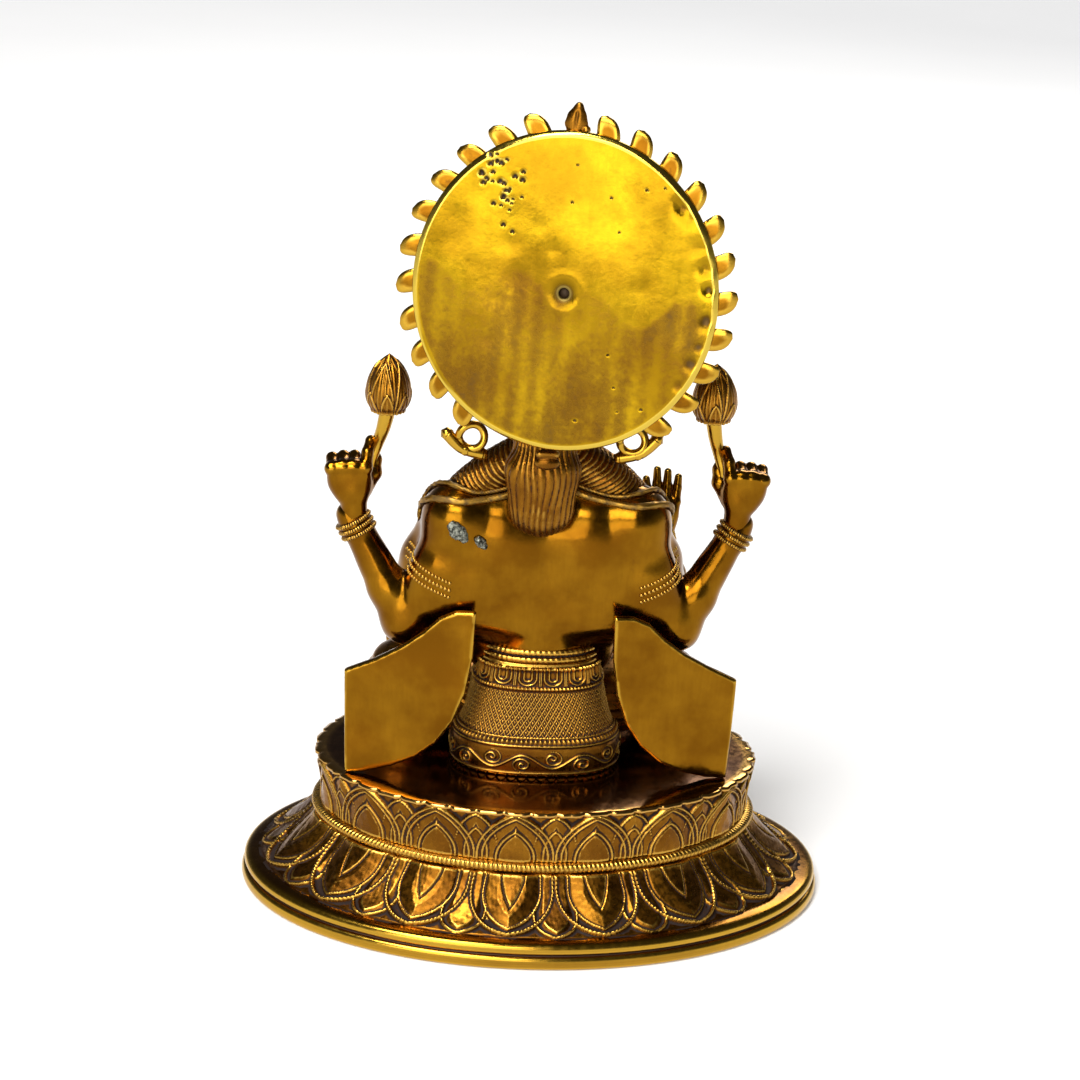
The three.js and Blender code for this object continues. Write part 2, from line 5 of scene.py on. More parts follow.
import bpy
import numpy as np
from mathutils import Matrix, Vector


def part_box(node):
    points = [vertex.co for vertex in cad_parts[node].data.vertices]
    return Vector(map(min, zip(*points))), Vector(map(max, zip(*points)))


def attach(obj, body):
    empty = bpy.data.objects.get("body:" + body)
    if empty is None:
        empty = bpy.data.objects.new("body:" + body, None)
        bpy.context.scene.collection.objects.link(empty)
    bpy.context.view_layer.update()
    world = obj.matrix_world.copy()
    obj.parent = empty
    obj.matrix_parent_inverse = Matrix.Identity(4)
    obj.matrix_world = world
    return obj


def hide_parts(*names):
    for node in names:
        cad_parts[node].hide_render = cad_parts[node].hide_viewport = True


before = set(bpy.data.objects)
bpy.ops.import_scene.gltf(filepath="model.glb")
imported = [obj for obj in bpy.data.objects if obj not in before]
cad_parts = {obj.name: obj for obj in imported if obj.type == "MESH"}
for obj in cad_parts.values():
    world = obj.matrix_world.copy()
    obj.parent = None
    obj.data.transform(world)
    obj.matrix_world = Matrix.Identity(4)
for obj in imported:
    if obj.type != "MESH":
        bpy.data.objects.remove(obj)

import openvdb
from mathutils import Matrix, Vector

MM = 0.001
TAU = 2 * math.pi
FAR = 40.0
LEFT, RIGHT = 1, -1
SIDES = {"left": LEFT, "right": RIGHT}
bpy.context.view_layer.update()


# ---------- places from the frame, in millimetres ----------
def low(node):
    return np.array(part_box(node)[0]) / MM


def high(node):
    return np.array(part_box(node)[1]) / MM


def mid(node):
    return (low(node) + high(node)) / 2


def node_points(node):
    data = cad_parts[node].data
    points = np.empty(len(data.vertices) * 3, np.float32)
    data.vertices.foreach_get("co", points)
    return points.reshape(-1, 3) / MM


def plate_axes(node):
    """A flat node's points, and its own axes: sideways, out of its back face, and up."""
    points = node_points(node)
    _, _, axes = np.linalg.svd(points - points.mean(0), full_matrices=False)
    normal = axes[2] * (1 if axes[2][1] > 0 else -1)
    right = unit(np.cross(normal, [0, 0, 1]))
    return points, np.stack([right, normal, np.cross(right, normal)])


def outer_x(node, side):
    """The node's x furthest from the middle on that side."""
    return high(node)[0] if side == LEFT else low(node)[0]


CENTRE_X = mid("torso")[0]
SEAT_TOP = high("seat_plate")[2]


def at(x, y, z):
    """A point given from the figure's own middle plane."""
    return np.array([CENTRE_X + x, y, z], float)


# ---------- small maths ----------
def smoothstep(value, start, end):
    t = np.clip((value - start) / (end - start), 0, 1)
    return t * t * (3 - 2 * t)


def unit(vector):
    vector = np.asarray(vector, float)
    return vector / np.linalg.norm(vector)


def axes_about(axis):
    """Two directions across an axis, and the axis itself, each of length 1."""
    n = unit(axis)
    side = unit(np.cross([0, 1, 0] if abs(n[1]) < 0.9 else [1, 0, 0], n))
    return np.stack([side, np.cross(n, side), n])


def circle(count):
    """Angles once round."""
    return np.linspace(0, TAU, count, endpoint=False)


def hump(distance, width):
    """1 at no distance, falling away to 0 over about twice the width."""
    return np.exp(-((distance / width) ** 2))


def along_line(count, places, values):
    """`count` values along a line, from the values given at some places between 0 and 1."""
    return np.interp(np.linspace(0, 1, count), places, values)


def wave_noise(x, y, z, size, seed, octaves=3):
    """Smooth repeatable noise from a few crossed sine waves, about -1 to 1."""
    rng = np.random.default_rng(seed)
    total = 0.0
    weight = 0.0
    for octave in range(octaves):
        scale = TAU / size * 1.9**octave
        for _ in range(3):
            k = unit(rng.normal(size=3)) * scale
            total = total + np.sin(k[0] * x + k[1] * y + k[2] * z + rng.uniform(0, 6.28)) * 0.6**octave
            weight += 0.6**octave
    return total / weight * 1.6


# ---------- sculpting in a block of clay ----------
def ball(centre, radii, turn=None):
    """An ellipsoid. turn is a 3x3 matrix whose rows are its own axes."""
    c = np.asarray(centre, float)
    r = np.broadcast_to(np.asarray(radii, float), (3,))
    reach = np.abs(turn.T) @ r if turn is not None else r

    def field(x, y, z):
        p = (x - c[0], y - c[1], z - c[2])
        if turn is not None:
            p = tuple(turn[k, 0] * p[0] + turn[k, 1] * p[1] + turn[k, 2] * p[2] for k in range(3))
        near = np.sqrt((p[0] / r[0]) ** 2 + (p[1] / r[1]) ** 2 + (p[2] / r[2]) ** 2)
        steep = np.sqrt((p[0] / r[0] ** 2) ** 2 + (p[1] / r[1] ** 2) ** 2 + (p[2] / r[2] ** 2) ** 2)
        return near * (near - 1) / np.maximum(steep, 1e-6)

    return field, c - reach, c + reach


def rod(start, end, radius, end_radius=None):
    """A round bar with ball ends, tapering when end_radius is given."""
    a, b = np.asarray(start, float), np.asarray(end, float)
    ra = radius
    rb = radius if end_radius is None else end_radius
    d = b - a
    length2 = max(float(d @ d), 1e-9)

    def field(x, y, z):
        px, py, pz = x - a[0], y - a[1], z - a[2]
        t = np.clip((px * d[0] + py * d[1] + pz * d[2]) / length2, 0, 1)
        gap = np.sqrt((px - t * d[0]) ** 2 + (py - t * d[1]) ** 2 + (pz - t * d[2]) ** 2)
        return gap - (ra + (rb - ra) * t)

    reach = max(ra, rb)
    return field, np.minimum(a, b) - reach, np.maximum(a, b) + reach


class Clay:
    """A block of space sampled every `step` mm that holds the distance to the modelled surface."""

    def __init__(self, low_corner, high_corner, step):
        self.step = step
        self.low = np.asarray(low_corner, float)
        self.count = np.ceil((np.asarray(high_corner, float) - self.low) / step).astype(int) + 1
        self.axes = [(self.low[k] + step * np.arange(self.count[k])).astype(np.float32) for k in range(3)]
        self.field = np.full(self.count, FAR, np.float32)

    def window(self, low_corner, high_corner):
        start = np.clip(((low_corner - self.low) / self.step).astype(int) - 1, 0, self.count)
        stop = np.clip(((high_corner - self.low) / self.step).astype(int) + 3, 0, self.count)
        part = tuple(slice(int(a), int(b)) for a, b in zip(start, stop))
        return part, *np.ix_(*(axis[share] for axis, share in zip(self.axes, part)))

    def add(self, shape, soft=1.0, sign=1):
        """Joins a shape on, with a fillet about `soft` mm wide. With sign -1 it is taken away."""
        field, lo, hi = shape
        part, x, y, z = self.window(lo - soft - 2, hi + soft + 2)
        old = self.field[part] * sign
        new = field(x, y, z)
        blend = np.maximum(soft - np.abs(old - new), 0)
        self.field[part] = sign * (np.minimum(old, new) - blend * blend / (4 * soft))

    def chain(self, points, radii, soft=1.0, sign=1):
        for i in range(len(points) - 1):
            self.add(rod(points[i], points[i + 1], radii[i], radii[i + 1]), soft, sign)

    def stroke(self, line, count, radii, soft, sign=1):
        """A bar along a smooth line. radii are spaced evenly from its start to its end."""
        radii = along_line(count, np.linspace(0, 1, len(radii)), radii)
        self.chain(smooth_path(line, count), radii, soft, sign)

    def cut(self, shape, soft=0.5):
        self.add(shape, soft, -1)

    def emboss(self, height):
        """Raises the surface by height(x, y, z) mm."""
        self.field[:] = self.field - height(*np.ix_(*self.axes))

    def keep(self, field):
        """Keeps only where field(x, y, z) is negative."""
        self.field[:] = np.maximum(self.field, field(*np.ix_(*self.axes)))

    def sample(self, points):
        """The distance at any points, read between the samples."""
        p = (np.asarray(points, float) - self.low) / self.step
        base = np.clip(np.floor(p).astype(int), 0, self.count - 2)
        t = np.clip(p - base, 0, 1)
        total = 0
        for corner in range(8):
            pick = np.array([(corner >> k) & 1 for k in range(3)])
            weight = np.prod(np.where(pick, t, 1 - t), axis=-1)
            i = base + pick
            total = total + weight * self.field[i[..., 0], i[..., 1], i[..., 2]]
        return total

    def normal(self, points):
        steps = np.eye(3) * self.step
        slope = np.stack([self.sample(points + s) - self.sample(points - s) for s in steps], -1)
        return slope / np.maximum(np.linalg.norm(slope, axis=-1, keepdims=True), 1e-6)

    def settle(self, points, rounds=6):
        """Moves points onto the surface."""
        points = np.asarray(points, float)
        for _ in range(rounds):
            points = points - self.normal(points) * self.sample(points)[..., None]
        return points

    def surface(self):
        grid = openvdb.FloatGrid(FAR)
        grid.copyFromArray(np.ascontiguousarray(self.field))
        points, quads = grid.convertToQuads(0.0)
        return np.asarray(points, float) * self.step + self.low, [np.asarray(quads, np.int64)]


# ---------- grids of points as closed skins ----------
def loft(points, capped=True):
    """A skin over points[round, along]. Its ends are closed by fans, or joined to each other."""
    around, along, _ = points.shape
    index = np.arange(around * along).reshape(around, along)
    ring = np.roll(index, -1, 0)
    if capped:
        quads = np.stack([index[:, :-1], ring[:, :-1], ring[:, 1:], index[:, 1:]], -1).reshape(-1, 4)
        verts = np.concatenate([points.reshape(-1, 3), points[:, :1].mean(0), points[:, -1:].mean(0)])
        first, last = around * along, around * along + 1
        near = np.stack([ring[:, 0], index[:, 0], np.full(around, first)], -1)
        far = np.stack([index[:, -1], ring[:, -1], np.full(around, last)], -1)
        return verts, [quads, near, far]
    nxt = np.roll(index, -1, 1)
    quads = np.stack([index, ring, np.roll(ring, -1, 1), nxt], -1).reshape(-1, 4)
    return points.reshape(-1, 3), [quads]


def resample(profile, count):
    """An outline of corners as `count` points, evenly spaced along it."""
    profile = np.asarray(profile, float)
    walk = np.concatenate([[0], np.cumsum(np.linalg.norm(np.diff(profile, axis=0), axis=1))])
    steps = np.linspace(0, walk[-1], count)
    return np.stack([np.interp(steps, walk, profile[:, k]) for k in range(2)], -1), steps


def rounded(profile, rounds=2):
    """Cuts the corners of an open outline, which keeps its ends."""
    profile = np.asarray(profile, float)
    for _ in range(rounds):
        a = profile[:-1] * 0.75 + profile[1:] * 0.25
        b = profile[:-1] * 0.25 + profile[1:] * 0.75
        inner = np.stack([a, b], 1).reshape(-1, 2)[1:-1]
        profile = np.concatenate([profile[:1], inner, profile[-1:]])
    return profile


def turned(profile, columns, rows, height=None, centre=(0, 0, 0), depth=1.0, angles=None, square=2.0):
    """Points [column, row] of a turned shape. height(column share, distance along) raises the surface in mm.

    depth squeezes it in y, and square above 2 flattens its sides."""
    line, steps = resample(profile, rows)
    tangent = np.gradient(line, axis=0)
    out = np.stack([tangent[:, 1], -tangent[:, 0]], -1)
    out /= np.maximum(np.linalg.norm(out, axis=1, keepdims=True), 1e-9)
    share = np.arange(columns) / columns
    angle = share * TAU if angles is None else angles
    cos, sin = np.cos(angle)[:, None], np.sin(angle)[:, None]
    if square != 2.0:
        shape = (np.abs(cos) ** square + np.abs(sin) ** square) ** (-1 / square)
        cos, sin = cos * shape, sin * shape
    lift = 0.0 if height is None else height(share[:, None], steps[None, :])
    radius = line[:, 0] + lift * out[:, 0]
    points = np.empty((columns, rows, 3))
    points[..., 0] = centre[0] + radius * cos
    points[..., 1] = centre[1] + (line[:, 0] * depth + lift * out[:, 0]) * sin
    points[..., 2] = centre[2] + line[:, 1] + lift * out[:, 1]
    return points


def along_axis(points, place, axis):
    """Turns points made about +Z so that they stand about an axis at a place."""
    return points @ axes_about(axis) + place


def bead_mesh():
    sixth = 1.0472  # of a turn
    ico = np.array([(0, 0, 1), (0, 0, -1)] + [(math.cos(a * sixth), math.sin(a * sixth), z)
                    for z in (0.5, -0.5) for a in range(6)], float)
    ico[2:, :2] *= 0.87
    ring, under = list(range(2, 8)), list(range(8, 14))
    faces = []
    for i in range(6):
        j = (i + 1) % 6
        faces += [(0, ring[i], ring[j]), (1, under[j], under[i]), (ring[i], under[i], under[j]),
                  (ring[i], under[j], ring[j])]
    return ico, np.array(faces)


def beads(centres, radius):
    """A small ball at each centre."""
    shape, faces = bead_mesh()
    centres = np.asarray(centres, float).reshape(-1, 3)
    verts = (centres[:, None] + shape[None] * radius).reshape(-1, 3)
    return verts, [(faces[None] + (np.arange(len(centres)) * len(shape))[:, None, None]).reshape(-1, 3)]


def evenly(points, spacing, closed=False):
    """Points every `spacing` mm along a line of points."""
    points = np.asarray(points, float)
    if closed:
        points = np.concatenate([points, points[:1]])
    walk = np.concatenate([[0], np.cumsum(np.linalg.norm(np.diff(points, axis=0), axis=1))])
    count = max(int(walk[-1] / spacing), 2)
    steps = np.linspace(0, walk[-1], count + 1)[: count if closed else count + 1]
    return np.stack([np.interp(steps, walk, points[:, k]) for k in range(3)], -1)


def joined(*skins):
    """Several skins as one mesh."""
    verts, faces, offset = [], [], 0
    for points, groups in skins:
        verts.append(points)
        faces.extend(np.asarray(group) + offset for group in groups)
        offset += len(points)
    return np.concatenate(verts), faces


# ---------- from points to a finished piece ----------
def relief_of(verts, normals, edges, rounds):
    """How far each point lies under its smoothed surroundings, in mm: above 0 in a hollow."""
    a, b = edges[:, 0], edges[:, 1]
    near = np.maximum(np.bincount(a, minlength=len(verts)) + np.bincount(b, minlength=len(verts)), 1)
    smooth = verts.copy()
    for _ in range(rounds):
        for k in range(3):
            total = np.bincount(a, smooth[b, k], len(verts)) + np.bincount(b, smooth[a, k], len(verts))
            smooth[:, k] = 0.4 * smooth[:, k] + 0.6 * total / near
    return ((smooth - verts) * normals).sum(1)


def make_piece(name, skin, material, slot, nodes=(), grime=0.0, hollow=0.12, painted_shade_and_tone=0.0):
    """A closed mesh from points and faces, with the values that its patina reads.

    hollow is the depth in mm at which the patina is full. grime darkens it beyond that with dirt, and the last
    argument with painted shade and an uneven tone."""
    verts, groups = skin
    data = bpy.data.meshes.new(name)
    sizes = np.concatenate([np.full(len(g), np.asarray(g).shape[1]) for g in groups])
    loops = np.concatenate([np.asarray(g).ravel() for g in groups])
    data.vertices.add(len(verts))
    data.vertices.foreach_set("co", (verts * MM).astype(np.float32).ravel())
    data.loops.add(len(loops))
    data.loops.foreach_set("vertex_index", loops.astype(np.int32))
    data.polygons.add(len(sizes))
    data.polygons.foreach_set("loop_start", np.concatenate([[0], np.cumsum(sizes)[:-1]]).astype(np.int32))
    data.update(calc_edges=True)
    data.validate()
    if face_volume(verts, groups) < 0:
        data.flip_normals()
    data.polygons.foreach_set("use_smooth", np.ones(len(data.polygons), bool))
    normals = np.empty(len(verts) * 3, np.float32)
    data.vertices.foreach_get("normal", normals)
    edges = np.empty(len(data.edges) * 2, np.int32)
    data.edges.foreach_get("vertices", edges)
    fine, broad = (relief_of(verts, normals.reshape(-1, 3), edges.reshape(-1, 2), rounds)
                   for rounds in (4, 16))
    # The last argument adds painted shade, with an uneven tone, to the patina's depth.
    depth = np.clip(0.5 + painted_shade_and_tone + fine / hollow * 0.5 + broad / hollow * 0.16, 0, 1)
    for word, values in (("hollow", depth), ("grime", grime)):
        values = np.broadcast_to(values, len(verts)).astype(np.float32)
        data.attributes.new(word, "FLOAT", "POINT").data.foreach_set("value", values)
    piece = bpy.data.objects.new(name, data)
    bpy.context.scene.collection.objects.link(piece)
    data.materials.append(material)
    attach(piece, "root")
    if nodes:
        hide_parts(*nodes)


def face_volume(verts, groups):
    total = 0.0
    for group in groups:
        group = np.asarray(group)
        for k in range(1, group.shape[1] - 1):
            a, b, c = verts[group[:, 0]], verts[group[:, k]], verts[group[:, k + 1]]
            total += float((a * np.cross(b, c)).sum())
    return total / 6


# ---------- materials ----------
class Nodes:
    """A short way to write a node tree."""

    def __init__(self, name):
        self.material = bpy.data.materials.new(name)
        self.material.use_nodes = True
        self.tree = self.material.node_tree
        self.tree.nodes.clear()
        self.place = self.new("ShaderNodeTexCoord").outputs["Object"]

    def feed(self, socket, value):
        if isinstance(value, bpy.types.NodeSocket):
            self.tree.links.new(value, socket)
        else:
            socket.default_value = value

    def new(self, kind, **inputs):
        node = self.tree.nodes.new(kind)
        for key, value in inputs.items():
            place = int(key[1:]) if key[0] == "_" else key.replace("_", " ")
            self.feed(node.inputs[place], value)
        return node

    def attribute(self, word):
        node = self.new("ShaderNodeAttribute")
        node.attribute_name = word
        return node.outputs["Fac"]

    def maths(self, operation, a, b=0.0, clamp=False):
        node = self.new("ShaderNodeMath", _0=a, _1=b)
        node.operation = operation
        node.use_clamp = clamp
        return node.outputs[0]

    def remap(self, value, start, end, to_start=0.0, to_end=1.0):
        node = self.new("ShaderNodeMapRange", _0=value, _1=start, _2=end, _3=to_start, _4=to_end)
        node.interpolation_type = "SMOOTHSTEP"
        return node.outputs[0]

    def mix(self, share, a, b):
        node = self.tree.nodes.new("ShaderNodeMix")
        node.data_type = "RGBA"
        for place, value in ((0, share), (6, a), (7, b)):
            self.feed(node.inputs[place], value)
        return node.outputs[2]

    def noise(self, scale, detail=3.0, roughness=0.55, stretch=None):
        place = self.place
        if stretch:
            place = self.new("ShaderNodeMapping", Vector=place, Scale=stretch).outputs[0]
        return self.new("ShaderNodeTexNoise", Vector=place, Scale=scale, Detail=detail,
                        Roughness=roughness).outputs[0]

    def finish(self, **inputs):
        """Ends the tree with a surface, and gives the material."""
        shader = self.new("ShaderNodeBsdfPrincipled", **inputs)
        self.new("ShaderNodeOutputMaterial", _0=shader.outputs[0])
        return self.material


PATINA = (0.020, 0.009, 0.006, 1)
WARM_PATINA = (0.085, 0.030, 0.006, 1)


def brass(name, tone, deep, polish, age, brush=(1.0, 1.0, 0.12), roughness=0.2, bump=0.25):
    """Cast brass: two tones, dark patina in the hollows, rubbed ridges and fine brushing."""
    n = Nodes(name)
    hollow, grime = n.attribute("hollow"), n.attribute("grime")
    cloud = n.noise(42.0, 4.0)
    speck = n.noise(420.0, 4.0, 0.65)
    streak = n.noise(900.0, 3.0, 0.6, stretch=brush)
    drift = n.remap(cloud, 0.35, 0.68)
    body = n.mix(drift, deep, tone)
    body = n.mix(n.maths("MULTIPLY", n.remap(streak, 0.35, 0.75), 0.22), body, deep)
    ridge = n.remap(hollow, 0.42, 0.12)
    body = n.mix(n.maths("MULTIPLY", ridge, 0.75), body, polish)
    # hollow holds the patina's depth, and on the halo's disc and petals painted shade as well.
    worn = n.maths("ADD", hollow, n.maths("MULTIPLY", n.maths("SUBTRACT", speck, 0.5), 0.30))
    warm = n.maths("MULTIPLY", n.remap(worn, 0.52, 0.72), age, clamp=True)
    dark = n.maths("MULTIPLY", n.remap(worn, 0.62, 0.90), age, clamp=True)
    dark = n.maths("MAXIMUM", dark, grime)
    colour = n.mix(warm, body, WARM_PATINA)
    colour = n.mix(dark, colour, PATINA)
    rough = n.remap(speck, 0.25, 0.8, roughness * 0.75, roughness * 1.5)
    rough = n.maths("ADD", rough, n.maths("MULTIPLY", dark, 0.35))
    rough = n.maths("ADD", rough, n.maths("MULTIPLY", warm, 0.10), clamp=True)
    metal = n.remap(dark, 0.2, 1.0, 1.0, 0.45)
    grain = n.maths("ADD", n.maths("MULTIPLY", streak, 0.5), n.maths("MULTIPLY", speck, 0.5))
    relief = n.new("ShaderNodeBump", Strength=bump, Distance=0.00012, Height=grain)
    return n.finish(Base_Color=colour, Metallic=metal, Roughness=rough, Normal=relief.outputs[0])


POLISHED = brass("polished_brass", (0.26, 0.118, 0.006, 1), (0.155, 0.060, 0.003, 1), (0.60, 0.36, 0.04, 1),
                 0.8, roughness=0.17)
AGED = brass("aged_brass", (0.27, 0.115, 0.010, 1), (0.13, 0.048, 0.005, 1), (0.62, 0.36, 0.06, 1), 1.0,
             roughness=0.28, bump=0.4)
HALO_BRASS = brass("halo_brass", (0.36, 0.220, 0.006, 1), (0.235, 0.130, 0.004, 1), (0.75, 0.54, 0.08, 1),
                   0.6, brush=(1.0, 1.0, 0.05), roughness=0.13, bump=0.5)
SEAT_BRASS = brass("dark_seat_brass", (0.20, 0.085, 0.016, 1), (0.11, 0.040, 0.008, 1), (0.6, 0.34, 0.08, 1),
                   0.8, brush=(0.12, 1.0, 1.0), roughness=0.13, bump=0.12)


def solder_metal():
    n = Nodes("solder")
    speck = n.noise(900.0, 4.0, 0.7)
    lump = n.noise(350.0, 3.0)
    colour = n.mix(n.remap(speck, 0.4, 0.62), (0.03, 0.033, 0.025, 1), (0.30, 0.31, 0.26, 1))
    rough = n.remap(lump, 0.3, 0.7, 0.3, 0.7)
    relief = n.new("ShaderNodeBump", Strength=0.8, Distance=0.0003, Height=lump)
    return n.finish(Base_Color=colour, Metallic=0.85, Roughness=rough, Normal=relief.outputs[0])


SOLDER = solder_metal()


def aged(name, skin, *nodes, **wear):
    """A piece of chased relief."""
    make_piece(name, skin, AGED, "aged_brass", nodes, **wear)


def polished(name, skin, *nodes, **wear):
    """A smooth piece of the figure."""
    make_piece(name, skin, POLISHED, "polished_brass", nodes, **wear)


def placed(clay, spot, rows, sign=1):
    """Adds ellipsoids. A row lists the centre's x, y, z, the three radii and the fillet."""
    for row in rows:
        clay.add(ball(spot(*row[:3]), row[3:6]), row[6], sign)


def beside(side):
    """Points given from the figure's middle plane towards one side."""
    return lambda x, y, z: at(side * x, y, z)


def mirrored(*half):
    """A line given from the middle plane outwards, with its mirror image before it."""
    return [at(-x, y, z) for x, y, z in half[:0:-1]] + [at(*point) for point in half]


# ---------- the oval lotus base ----------
PETALS = 15
BASE_CENTRE = mid("base_rim")
BASE_HALF = (high("base_rim") - low("base_rim")) / 2
DEPTH = BASE_HALF[1] / BASE_HALF[0]
FIRST_PETAL = 0.228  # share of the way round at which the first petal's midline lies
HALF_PITCH = 17.0  # half a petal's width
WAY_ROUND = 560  # mm round the petals
PLACE = BASE_CENTRE * [1, 1, 0]


def oval_angles(columns):
    """Angles whose points are evenly spaced along the oval, so that the petals are all as wide."""
    fine = np.linspace(0, TAU, 4001)
    middle = (fine[1:] + fine[:-1]) / 2
    step = np.hypot(np.sin(middle), DEPTH * np.cos(middle))
    walk = np.concatenate([[0], np.cumsum(step)])
    return np.interp(np.arange(columns) / columns * walk[-1], walk, fine)


def lane(share):
    """Distance from the nearest petal's midline: 0 on it, 1 halfway to the next."""
    turn = (share - FIRST_PETAL) * PETALS
    return np.abs(2 * (turn - np.round(turn)))


def leaf(v, across, start, reach, wide, power, pitch, length):
    """Distance in mm inside a pointed leaf that narrows from v = start to its tip, `reach` further on."""
    t = (v - start) / reach
    bend = np.cos(np.clip(t, 0, 0.999) * math.pi / 2)
    width = np.where(t > 0.999, wide * (1 - t), wide * bend**power)
    lean = np.sin(np.clip(t, 0, 0.999) * math.pi / 2)
    slope = wide * power * bend ** (power - 1) * lean * math.pi / 2 / reach
    slope = np.where(t < 0, 0, np.minimum(slope, 3 * wide / reach))
    return (width - across) / np.sqrt(1 / pitch**2 + (slope / length) ** 2)


def step_curve(inside, *corners):
    """Height for a distance inside an outline, through corners given as (distance, height)."""
    return np.interp(inside, [c[0] for c in corners], [c[1] for c in corners])


def beaded(inside, place, run, pitch, size, width=0.45):
    """A row of beads along an outline, at a distance inside it."""
    return size * (0.5 + 0.5 * np.cos(TAU * run / pitch)) * hump(inside - place, width)


def rough_cast(share, along):
    """The small unevenness of a sand-cast relief."""
    place = (share * WAY_ROUND, along, 0 * along)
    return 0.06 * wave_noise(*place, 3.4, 51) + 0.16 * wave_noise(*place, 21, 52)


def lower_petals(share, along):
    length = along.max()
    v = 1 - along / length + 0 * share
    across = lane(share) + 0 * v
    pitch = HALF_PITCH - 1.5 + 3.5 * v
    run = v * length - across * pitch * 0.7
    inside = leaf(v, across, 0.20, 0.74, 1.0, 0.52, pitch, length)
    main = step_curve(inside, (-0.3, -1.4), (0.2, 0.6), (1.2, 0.6), (1.5, -0.2), (2.2, -0.9), (4.2, -1.1),
                      (4.9, 0.1), (5.3, 0.2), (5.8, -0.1), (6.4, 0.4), (11, 1.5))
    main = main + beaded(inside, 0.7, run, 1.7, 0.55) + beaded(inside, 5.3, run, 1.2, 0.4, 0.35)
    second = leaf(v, 1 - across, 0.60, 0.36, 0.50, 0.5, pitch, length)
    small = step_curve(second, (-0.3, -1.4), (0.2, 0.0), (1.0, 0.0), (1.5, -0.8), (2.4, -0.6), (4, 0.2))
    small = small + beaded(second, 0.6, run, 1.5, 0.4)
    inner = leaf(v, across, -0.1, 0.62, 0.30, 0.8, pitch, length)
    main = main + np.where(inside > 6, step_curve(inner, (-0.4, 0), (0.0, -0.5), (0.4, 0.3), (3, 0.5)), 0)
    fade = smoothstep(v, 0.0, 0.04) * (1 - smoothstep(v, 0.965, 1.0))
    return np.maximum(main, small) * fade - 0.4 * (1 - fade) + rough_cast(share, along)


def upper_petals(share, along):
    length = along.max()
    v = along / length + 0 * share
    across = lane(share) + 0 * v
    pitch = HALF_PITCH - 1.6
    run = v * length + across * pitch * 0.5
    inside = leaf(v, across, 0.10, 0.93, 1.0, 0.66, pitch, length)
    main = step_curve(inside, (-0.3, -1.2), (0.2, 0.7), (0.9, 0.7), (1.2, -0.3), (2.0, -0.3), (2.3, 0.6),
                      (2.9, 0.6), (3.3, -0.2), (7, 0.3))
    main = main + beaded(inside, 1.6, run, 1.25, 0.6, 0.4)
    core = leaf(v, across, 0.05, 0.60, 0.50, 0.75, pitch, length)
    arch = step_curve(core, (-0.9, 0), (-0.5, -0.4), (0.0, 0.6), (0.6, 0.6), (1.0, -0.3), (1.6, 0.4),
                      (5, 0.9))
    main = main + np.where(inside > 3.2, arch, 0)
    second = leaf(v, 1 - across, 0.10, 0.86, 0.60, 0.5, pitch, length)
    small = step_curve(second, (-0.3, -1.2), (0.2, 0.1), (0.8, 0.1), (1.1, -0.7), (2.2, -0.4), (5, 0.2))
    vein = leaf(v, 1 - across, 0.10, 0.56, 0.32, 0.6, pitch, length)
    groove = step_curve(vein, (-0.6, 0), (-0.3, -0.4), (0.1, 0.3), (0.5, 0.3), (1, 0))
    small = small + np.where(second > 1.4, groove, 0)
    whole = np.maximum(main, small + beaded(second, 0.5, run, 1.4, 0.25))
    return whole + rough_cast(share, along)


def shell(profile, inner, columns, rows, height=None):
    """A ring of the base: a relief surface outside and a plain wall inside."""
    angles = oval_angles(columns)
    outer = turned(profile, columns, rows, height, PLACE, DEPTH, angles)
    wall = turned(inner, columns, 3, None, PLACE, DEPTH, angles)
    return loft(np.concatenate([outer, wall], 1), capped=False)


